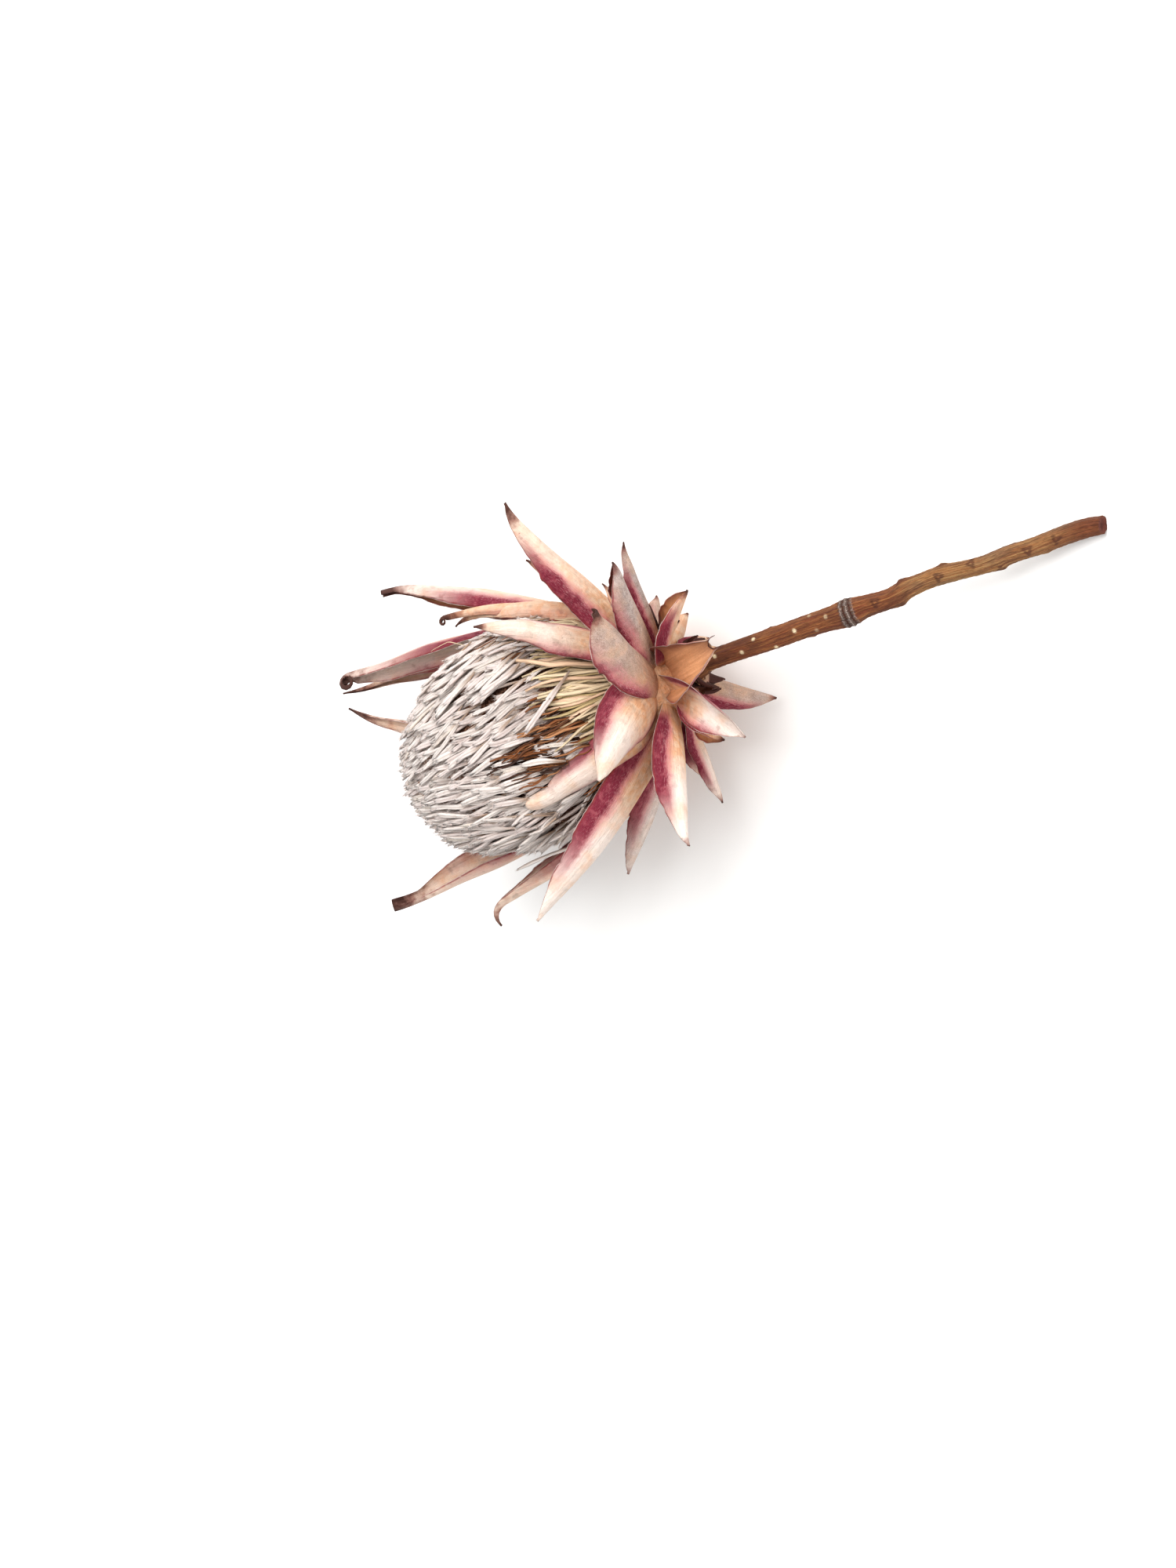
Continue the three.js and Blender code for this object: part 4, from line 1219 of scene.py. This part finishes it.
def bract_masks(nodes, grain, blotches):
    """What varies over a bract: painted values, noises, and masks for its colours."""
    blade = nodes.painted("blade")
    u, t, face = nodes.painted("place", split=True)
    flush, bloom, dusk = nodes.painted("look", split=True)
    over = SimpleNamespace(t=t, face=face, dusk=dusk, edge=nodes.math("ABSOLUTE", u))
    over.broad = nodes.group(grain, Blade=blade, Width=1.8, Length=30.0)
    over.fine = nodes.group(grain, Blade=blade, Width=0.3, Length=4.0)
    over.felt = nodes.group(grain, Blade=blade, Width=0.22, Length=1.6)
    over.cloud = nodes.noise(blade, 0.1, 4.0)
    over.nap = nodes.noise(blade, 3.0, 3.0)
    over.patch = nodes.noise(blade, 0.28, 4.0)
    over.spots = nodes.group(blotches, Blade=blade, Size=1.5, Amount=0.12)
    over.smudges = nodes.group(blotches, Blade=blade, Size=5.0, Amount=0.34)

    # Maroon velvet and its blush, towards the ragged margins
    wander = nodes.plus(nodes.times(over.cloud, 0.34), nodes.times(over.broad, 0.1))
    wander = nodes.plus(wander, nodes.times(over.nap, 0.2))
    wander = nodes.plus(wander, nodes.times(over.fine, 0.2))
    ragged = nodes.plus(over.edge, nodes.minus(wander, 0.42))
    over.ragged = nodes.plus(ragged, nodes.times(nodes.times(u, nodes.level("lead")), 0.2))
    stretch = nodes.times(nodes.step(t, 0.03, 0.2), nodes.step(t, 0.92, 0.5))
    flushed = nodes.times(flush, stretch)
    over.velvet = nodes.times(flushed, nodes.step(over.ragged, 0.57, 0.8), clamp=True)
    over.blush = nodes.times(flushed, nodes.step(over.ragged, 0.32, 0.74, 0.0, 0.75), clamp=True)

    # Chalky end and grey bloom
    chalk = nodes.times(nodes.step(t, 0.3, 0.62), nodes.step(over.cloud, 0.3, 0.55, 0.5, 1.0))
    over.chalk = nodes.times(chalk, bloom, clamp=True)
    silvered = nodes.times(dusk, nodes.step(over.cloud, 0.3, 0.6, 0.55, 1.0), clamp=True)
    over.silvered = nodes.times(silvered, nodes.step(t, 0.12, 0.6, 0.45, 1.0))
    return over


def bract_back(nodes, over):
    """Colours of a bract's back, from its ground colour up."""
    back = nodes.mix(nodes.step(over.patch, 0.36, 0.64), CREAM, PEACH)
    back = nodes.mix(nodes.step(over.t, 0.34, 0.0, 0.0, 0.45), back, TAN)
    frost = nodes.plus(over.nap, nodes.times(over.patch, 0.7))
    hairs = nodes.mix(nodes.step(frost, 0.66, 1.04, 0.15, 1.0), MAUVE, SILVER)
    back = nodes.mix(over.silvered, back, hairs)
    back = nodes.mix(nodes.times(over.chalk, 0.95), back, CHALK)
    stain = nodes.times(over.smudges, nodes.step(over.edge, 0.2, 0.9, 0.22, 0.6))
    back = nodes.mix(stain, back, SMUDGE)
    back = nodes.mix(nodes.step(over.nap, 0.52, 0.66, 0.0, 0.3), back, SMUDGE)
    back = nodes.mix(over.blush, back, PINK)
    back = nodes.mix(over.velvet, back, MAROON)
    faded = nodes.times(over.velvet, nodes.step(over.patch, 0.48, 0.68, 0.0, 0.3))
    back = nodes.mix(faded, back, PINK)
    felted = nodes.times(over.blush, nodes.step(over.felt, 0.5, 0.66, 0.0, 0.72))
    felted = nodes.times(felted, nodes.step(over.ragged, 1.05, 0.5, 0.25, 1.0))
    back = nodes.mix(felted, back, FELT)
    return nodes.mix(nodes.times(over.spots, 0.5), back, RED_BROWN)


def bract_lining(nodes, over):
    """Colours of a bract's hollow side."""
    lining = nodes.mix(nodes.step(over.broad, 0.2, 0.9), TAN, PEACH)
    lining = nodes.mix(nodes.times(nodes.step(over.ragged, 0.45, 0.95), 0.8), lining, RED_BROWN)
    lining = nodes.mix(nodes.step(over.t, 0.5, 1.0, 0.0, 0.5), lining, MAUVE)
    return nodes.mix(nodes.times(over.dusk, 0.65), lining, RED_BROWN)


def bract_margins(nodes, over, colour):
    """A bract's colours with the crimson and pale lines at its margins."""
    rim = nodes.times(nodes.step(over.edge, 0.9, 0.95, 0.0, 0.75),
                      nodes.step(over.patch, 0.35, 0.55, 0.4, 1.0))
    colour = nodes.mix(nodes.times(rim, nodes.step(over.t, 0.02, 0.2)), colour, CRIMSON)
    pale_line = nodes.times(nodes.step(over.edge, 0.975, 0.995),
                            nodes.step(over.cloud, 0.35, 0.55, 0.25, 0.85))
    return nodes.mix(pale_line, colour, CHALK)


def burnt_tip(nodes, over, colour):
    """A bract's colours with its scorched and burnt tip."""
    ashes = nodes.plus(over.t, nodes.times(nodes.minus(over.patch, 0.5), 0.12))
    past = nodes.minus(ashes, nodes.level("char"))
    colour = nodes.mix(nodes.step(past, -0.08, 0.0, 0.0, 0.75), colour, RED_BROWN)
    return nodes.mix(nodes.times(nodes.step(past, -0.02, 0.03), 0.85), colour, CHARRED)


def bract_finish(grain, blotches):
    """Dry bract: cream to peach back with maroon velvet margins, tan lining, charred tip."""
    material, nodes, shader = new_finish("dry bract", 0.7, sheen=0.04, gloss=0.3)
    over = bract_masks(nodes, grain, blotches)
    colour = nodes.mix(over.face, bract_lining(nodes, over), bract_back(nodes, over))
    colour = burnt_tip(nodes, over, bract_margins(nodes, over, colour))
    shade = nodes.times(nodes.step(over.broad, 0.25, 0.75, 0.88, 1.04),
                        nodes.step(over.fine, 0.2, 0.8, 0.9, 1.05))
    shade = nodes.times(shade, nodes.step(over.nap, 0.3, 0.7, 0.88, 1.07))
    nodes.feed(shader.inputs["Base Color"], nodes.shade(colour, shade))
    nodes.feed(shader.inputs["Roughness"], nodes.step(over.face, 0.0, 1.0, 0.5, 0.82))
    height = nodes.plus(nodes.times(over.broad, 0.8), nodes.times(over.fine, 0.45))
    height = nodes.plus(height, nodes.times(over.nap, 0.16))
    height = nodes.plus(height, nodes.times(over.patch, 0.9))
    bump(nodes, shader, nodes.times(height, nodes.step(over.face, 0.0, 1.0, 0.45, 1.0)), 1.0)
    return material


def wool_finish(grain, blotches):
    """Woolly strap: warm white ridges, painted shade in its grooves and on sunk straps, and brown
    towards its root, partly its own dry colour and partly painted shade.
    """
    material, nodes, shader = new_finish("floret wool", 0.95, sheen=0.7, gloss=0.1)
    blade = nodes.painted("blade")
    groove, s, tone = nodes.painted("place", split=True)
    hairs = nodes.group(grain, Blade=blade, Width=0.2, Length=2.4)
    strands = nodes.group(grain, Blade=blade, Width=0.6, Length=9.0)
    spots = nodes.group(blotches, Blade=blade, Size=1.4, Amount=0.14)
    colour = nodes.mix(nodes.step(tone, 0.05, 0.6), LILAC_WOOL, WOOL)
    colour = nodes.mix(nodes.step(tone, 0.9, 1.0, 0.0, 0.35), colour, STRAW)
    # Painted shade: the grooves and sunk straps darken towards the wool shade colour
    colour = nodes.mix(nodes.times(groove, 0.66), colour, WOOL_PAINTED_SHADE)
    # Brown towards the root: the dry root's own colour, and painted shade where roots lie under other
    # straps
    colour = nodes.mix(nodes.step(s, 0.5, 0.1, 0.0, 0.9), colour, DRY_ROOT_AND_SHADE)
    colour = nodes.mix(nodes.times(spots, 0.25), colour, RUST)
    shade = nodes.times(nodes.step(hairs, 0.25, 0.75, 0.93, 1.04),
                        nodes.step(strands, 0.25, 0.75, 0.93, 1.04))
    nodes.feed(shader.inputs["Base Color"], nodes.shade(colour, shade))
    nodes.feed(shader.inputs["Roughness"], nodes.step(hairs, 0.2, 0.8, 0.85, 1.0))
    fuzz = nodes.noise(blade, 2.8, 5.0)
    height = nodes.plus(nodes.times(hairs, 0.45), nodes.times(strands, 0.35))
    bump(nodes, shader, nodes.plus(height, fuzz), 0.9)
    return material


def thread_finish(name, grain, colours, roughness):
    """Stalk or fibre: one of three colours by its tone, streaked along it. For stalks the first colour
    is painted shade, and the dark streaks are partly painted shade between them.
    """
    material, nodes, shader = new_finish(name, roughness, gloss=0.4)
    blade = nodes.painted("blade")
    tone = nodes.level("tone")
    streaks = nodes.group(grain, Blade=blade, Width=0.3, Length=7.0)
    # For the stalks the first, olive colour is painted shade; for the fibres it is their own dark brown
    colour = nodes.mix(nodes.step(tone, 0.2, 0.5), colours[0], colours[1])
    colour = nodes.mix(nodes.step(tone, 0.75, 0.95), colour, colours[2])
    # Dark streaks: grain along the thread, and for the stalks also painted shade between them
    shade = nodes.step(streaks, 0.25, 0.75, 0.55, 1.1)
    nodes.feed(shader.inputs["Base Color"], nodes.shade(colour, shade))
    worn = nodes.step(streaks, 0.2, 0.8, roughness - 0.12, roughness + 0.1)
    nodes.feed(shader.inputs["Roughness"], worn)
    bump(nodes, shader, streaks, 0.4)
    return material


def core_finish():
    """Packed stalks deep in the head: rough, and coloured as painted shade, dark deep down and like
    wool in shade near the front.
    """
    material, nodes, shader = new_finish("packed stalks", 0.95, gloss=0.1)
    blade = nodes.painted("blade")
    streaks = nodes.noise(blade, 0.8, 5.0)
    height = nodes.add("ShaderNodeSeparateXYZ", Vector=blade).outputs[2]
    # Painted shade: dark deep in the head, and wool in shade near the front, where the core shows
    # between the straps
    deep = nodes.mix(nodes.step(streaks, 0.4, 0.7), PITH_AND_DEEP_SHADE, WOOL_PAINTED_SHADE)
    wool_in_shade = nodes.mix(nodes.step(streaks, 0.35, 0.65), WOOL_PAINTED_SHADE, WOOL_IN_PAINTED_SHADE)
    nodes.feed(shader.inputs["Base Color"], nodes.mix(nodes.step(height, 88, 104), deep, wool_in_shade))
    nodes.feed(shader.inputs["Roughness"], nodes.step(streaks, 0.0, 1.0, 0.85, 1.0))
    bump(nodes, shader, streaks, 2.0)
    return material


def bark_finish(grain):
    """Bark: red-brown by the head, golden beyond the node ring, pale scars, dark cut end."""
    material, nodes, shader = new_finish("woody bark", 0.7, gloss=0.35)
    trunk = nodes.painted("blade")
    x, y, run = nodes.painted("blade", split=True)
    scar = nodes.level("scar")
    upright = nodes.add("ShaderNodeCombineXYZ", X=x, Y=run, Z=y).outputs[0]
    long_streaks = nodes.group(grain, Blade=upright, Width=1.1, Length=26.0)
    streaks = nodes.stretched_noise(trunk, (1.6, 1.6, 0.07), 6.0)
    fine = nodes.stretched_noise(trunk, (5.0, 5.0, 0.35), 3.0)
    patches = nodes.stretched_noise(trunk, (0.12, 0.12, 0.05), 4.0)
    golden = nodes.mix(nodes.step(streaks, 0.35, 0.68), GOLDEN_BARK, PALE_BARK)
    golden = nodes.mix(nodes.step(patches, 0.45, 0.7, 0.0, 0.45), golden, GREY_BARK)
    red = nodes.mix(nodes.step(streaks, 0.35, 0.7), RED_BARK, GOLDEN_BARK)
    red = nodes.mix(nodes.step(patches, 0.5, 0.7, 0.0, 0.5), red, CHARRED)
    ragged = nodes.plus(run, nodes.times(nodes.minus(patches, 0.5), 30.0))
    colour = nodes.mix(nodes.step(ragged, NODE_RING_AT - 40, NODE_RING_AT - 14), golden, red)
    near_cut = nodes.step(ragged, -STEM_LENGTH + 34, -STEM_LENGTH + 4, 0.0, 0.85)
    colour = nodes.mix(near_cut, colour, RED_BARK)
    colour = nodes.mix(nodes.step(long_streaks, 0.48, 0.62, 0.0, 0.6), colour, DARK_BARK)
    apart = nodes.math("ABSOLUTE", nodes.minus(run, NODE_RING_AT))
    wrinkle = nodes.math("SINE", nodes.plus(nodes.times(run, 2.1), nodes.times(streaks, 6.0)))
    lines = nodes.times(nodes.step(wrinkle, 0.8, 1.0), nodes.step(fine, 0.3, 0.55, 0.2, 0.8))
    ring = nodes.mix(lines, GREY_BARK, SILVER)
    ring = nodes.mix(nodes.step(wrinkle, -0.2, -0.8), ring, CHARRED)
    on_ring = nodes.step(nodes.plus(apart, nodes.times(fine, 3.0)), 5.8, 4.0, 0.0, 0.85)
    colour = nodes.mix(on_ring, colour, ring)
    worn = nodes.plus(scar, nodes.times(nodes.minus(streaks, 0.5), 1.6))
    colour = nodes.mix(nodes.step(worn, -0.35, -0.9, 0.0, 0.7), colour, DARK_BARK)
    colour = nodes.mix(nodes.times(scar, 0.9, clamp=True), colour, SCAR_WHITE)
    cut = nodes.step(run, -STEM_LENGTH - 0.5, -STEM_LENGTH - 2, 0.0, 0.75)
    colour = nodes.mix(cut, colour, RED_BROWN)
    shade = nodes.times(nodes.step(fine, 0.25, 0.75, 0.58, 1.12),
                        nodes.step(long_streaks, 0.3, 0.7, 0.85, 1.08))
    nodes.feed(shader.inputs["Base Color"], nodes.shade(colour, shade))
    nodes.feed(shader.inputs["Roughness"], nodes.step(streaks, 0.2, 0.8, 0.6, 0.85))
    bump(nodes, shader, nodes.plus(streaks, nodes.times(fine, 0.5)), 1.0)
    return material


# Studio

def lay_direction(direction):
    """A direction of the flower's own frame, in the shared frame."""
    return Vector((np.asarray(direction, float) @ FLOWER_AXES).tolist())


def picture_axes():
    """Right, up and towards the camera, in the shared frame, as the photograph shows them."""
    along_axis = lay_direction((0, math.sin(HEAD_TURN), math.cos(HEAD_TURN)))
    beside_axis = lay_direction((1, 0, 0))
    toward = lay_direction((0, math.cos(HEAD_TURN), -math.sin(HEAD_TURN)))
    right, down = AXIS_IN_PICTURE
    return along_axis * right + beside_axis * down, beside_axis * right - along_axis * down, toward


def make_camera():
    """Camera at the photograph's viewing angle, its whole frame taken in."""
    right, up, toward = picture_axes()
    to_centre = (PICTURE_SIZE[0] / 2 - ORIGIN_PIXEL[0], PICTURE_SIZE[1] / 2 - ORIGIN_PIXEL[1])
    origin = Vector((FLOWER_AT / 1000).tolist())
    centre = origin + (right * to_centre[0] - up * to_centre[1]) * PIXEL / 1000
    lens = bpy.data.cameras.new("camera")
    lens.sensor_fit = "VERTICAL"
    lens.sensor_height = SENSOR
    lens.lens = LENS
    distance = PICTURE_SIZE[1] * PIXEL / 1000 * LENS / SENSOR
    camera = bpy.data.objects.new("camera", lens)
    camera.matrix_world = Matrix.Translation(centre + toward * distance) @ Matrix(
        (right, up, toward)).transposed().to_4x4()
    bpy.context.scene.collection.objects.link(camera)
    bpy.context.scene.camera = camera


def make_light(name, direction, distance, size, power):
    """Soft square light that faces the flower from a direction (right, up, near) in the picture."""
    right, up, toward = picture_axes()
    at = (right * direction[0] + up * direction[1] + toward * direction[2]).normalized() * distance
    lamp = bpy.data.lights.new(name, "AREA")
    lamp.size = size
    lamp.energy = power
    light = bpy.data.objects.new(name, lamp)
    light.location = at
    light.rotation_euler = at.to_track_quat("Z", "Y").to_euler()
    bpy.context.scene.collection.objects.link(light)


def make_studio():
    """Pale floor, even surroundings and soft lamps."""
    scene = bpy.context.scene
    scene.view_settings.view_transform = "Standard"
    scene.view_settings.look = "Medium High Contrast"
    world = bpy.data.worlds.new("studio")
    world.use_nodes = True
    world.node_tree.nodes["Background"].inputs["Color"].default_value = (1, 1, 1, 1)
    world.node_tree.nodes["Background"].inputs["Strength"].default_value = SURROUNDINGS
    scene.world = world
    for name, lamp in LAMPS.items():
        make_light(name, *lamp)
    mesh = bpy.data.meshes.new("floor")
    corners = [(x * FLOOR_REACH, y * FLOOR_REACH, 0) for x, y in ((-1, -1), (1, -1), (1, 1), (-1, 1))]
    mesh.from_pydata(corners, [], [(0, 1, 2, 3)])
    floor = bpy.data.objects.new("floor", mesh)
    paper, _, shader = new_finish("pale paper", 0.9, gloss=0.1)
    shader.inputs["Base Color"].default_value = (*FLOOR_COLOUR, 1)
    mesh.materials.append(paper)
    scene.collection.objects.link(floor)


make_camera()
make_studio()

grain = lengthwise_grain()
blotches = dry_blotches()
sheets = make_bracts(bract_finish(grain, blotches))
tree = sheet_tree(sheets)
make_core(core_finish())
# The stalks' olive colour is painted shade
make_stalks(thread_finish("straw stalk", grain, (STRAW_PAINTED_SHADE, STRAW, CREAM), 0.6), tree)
make_fibres(thread_finish("torn fibre", grain, (PITH_AND_DEEP_SHADE, RUST, TAN), 0.5), tree)
make_straps(wool_finish(grain, blotches), tree)
make_stem(bark_finish(grain))
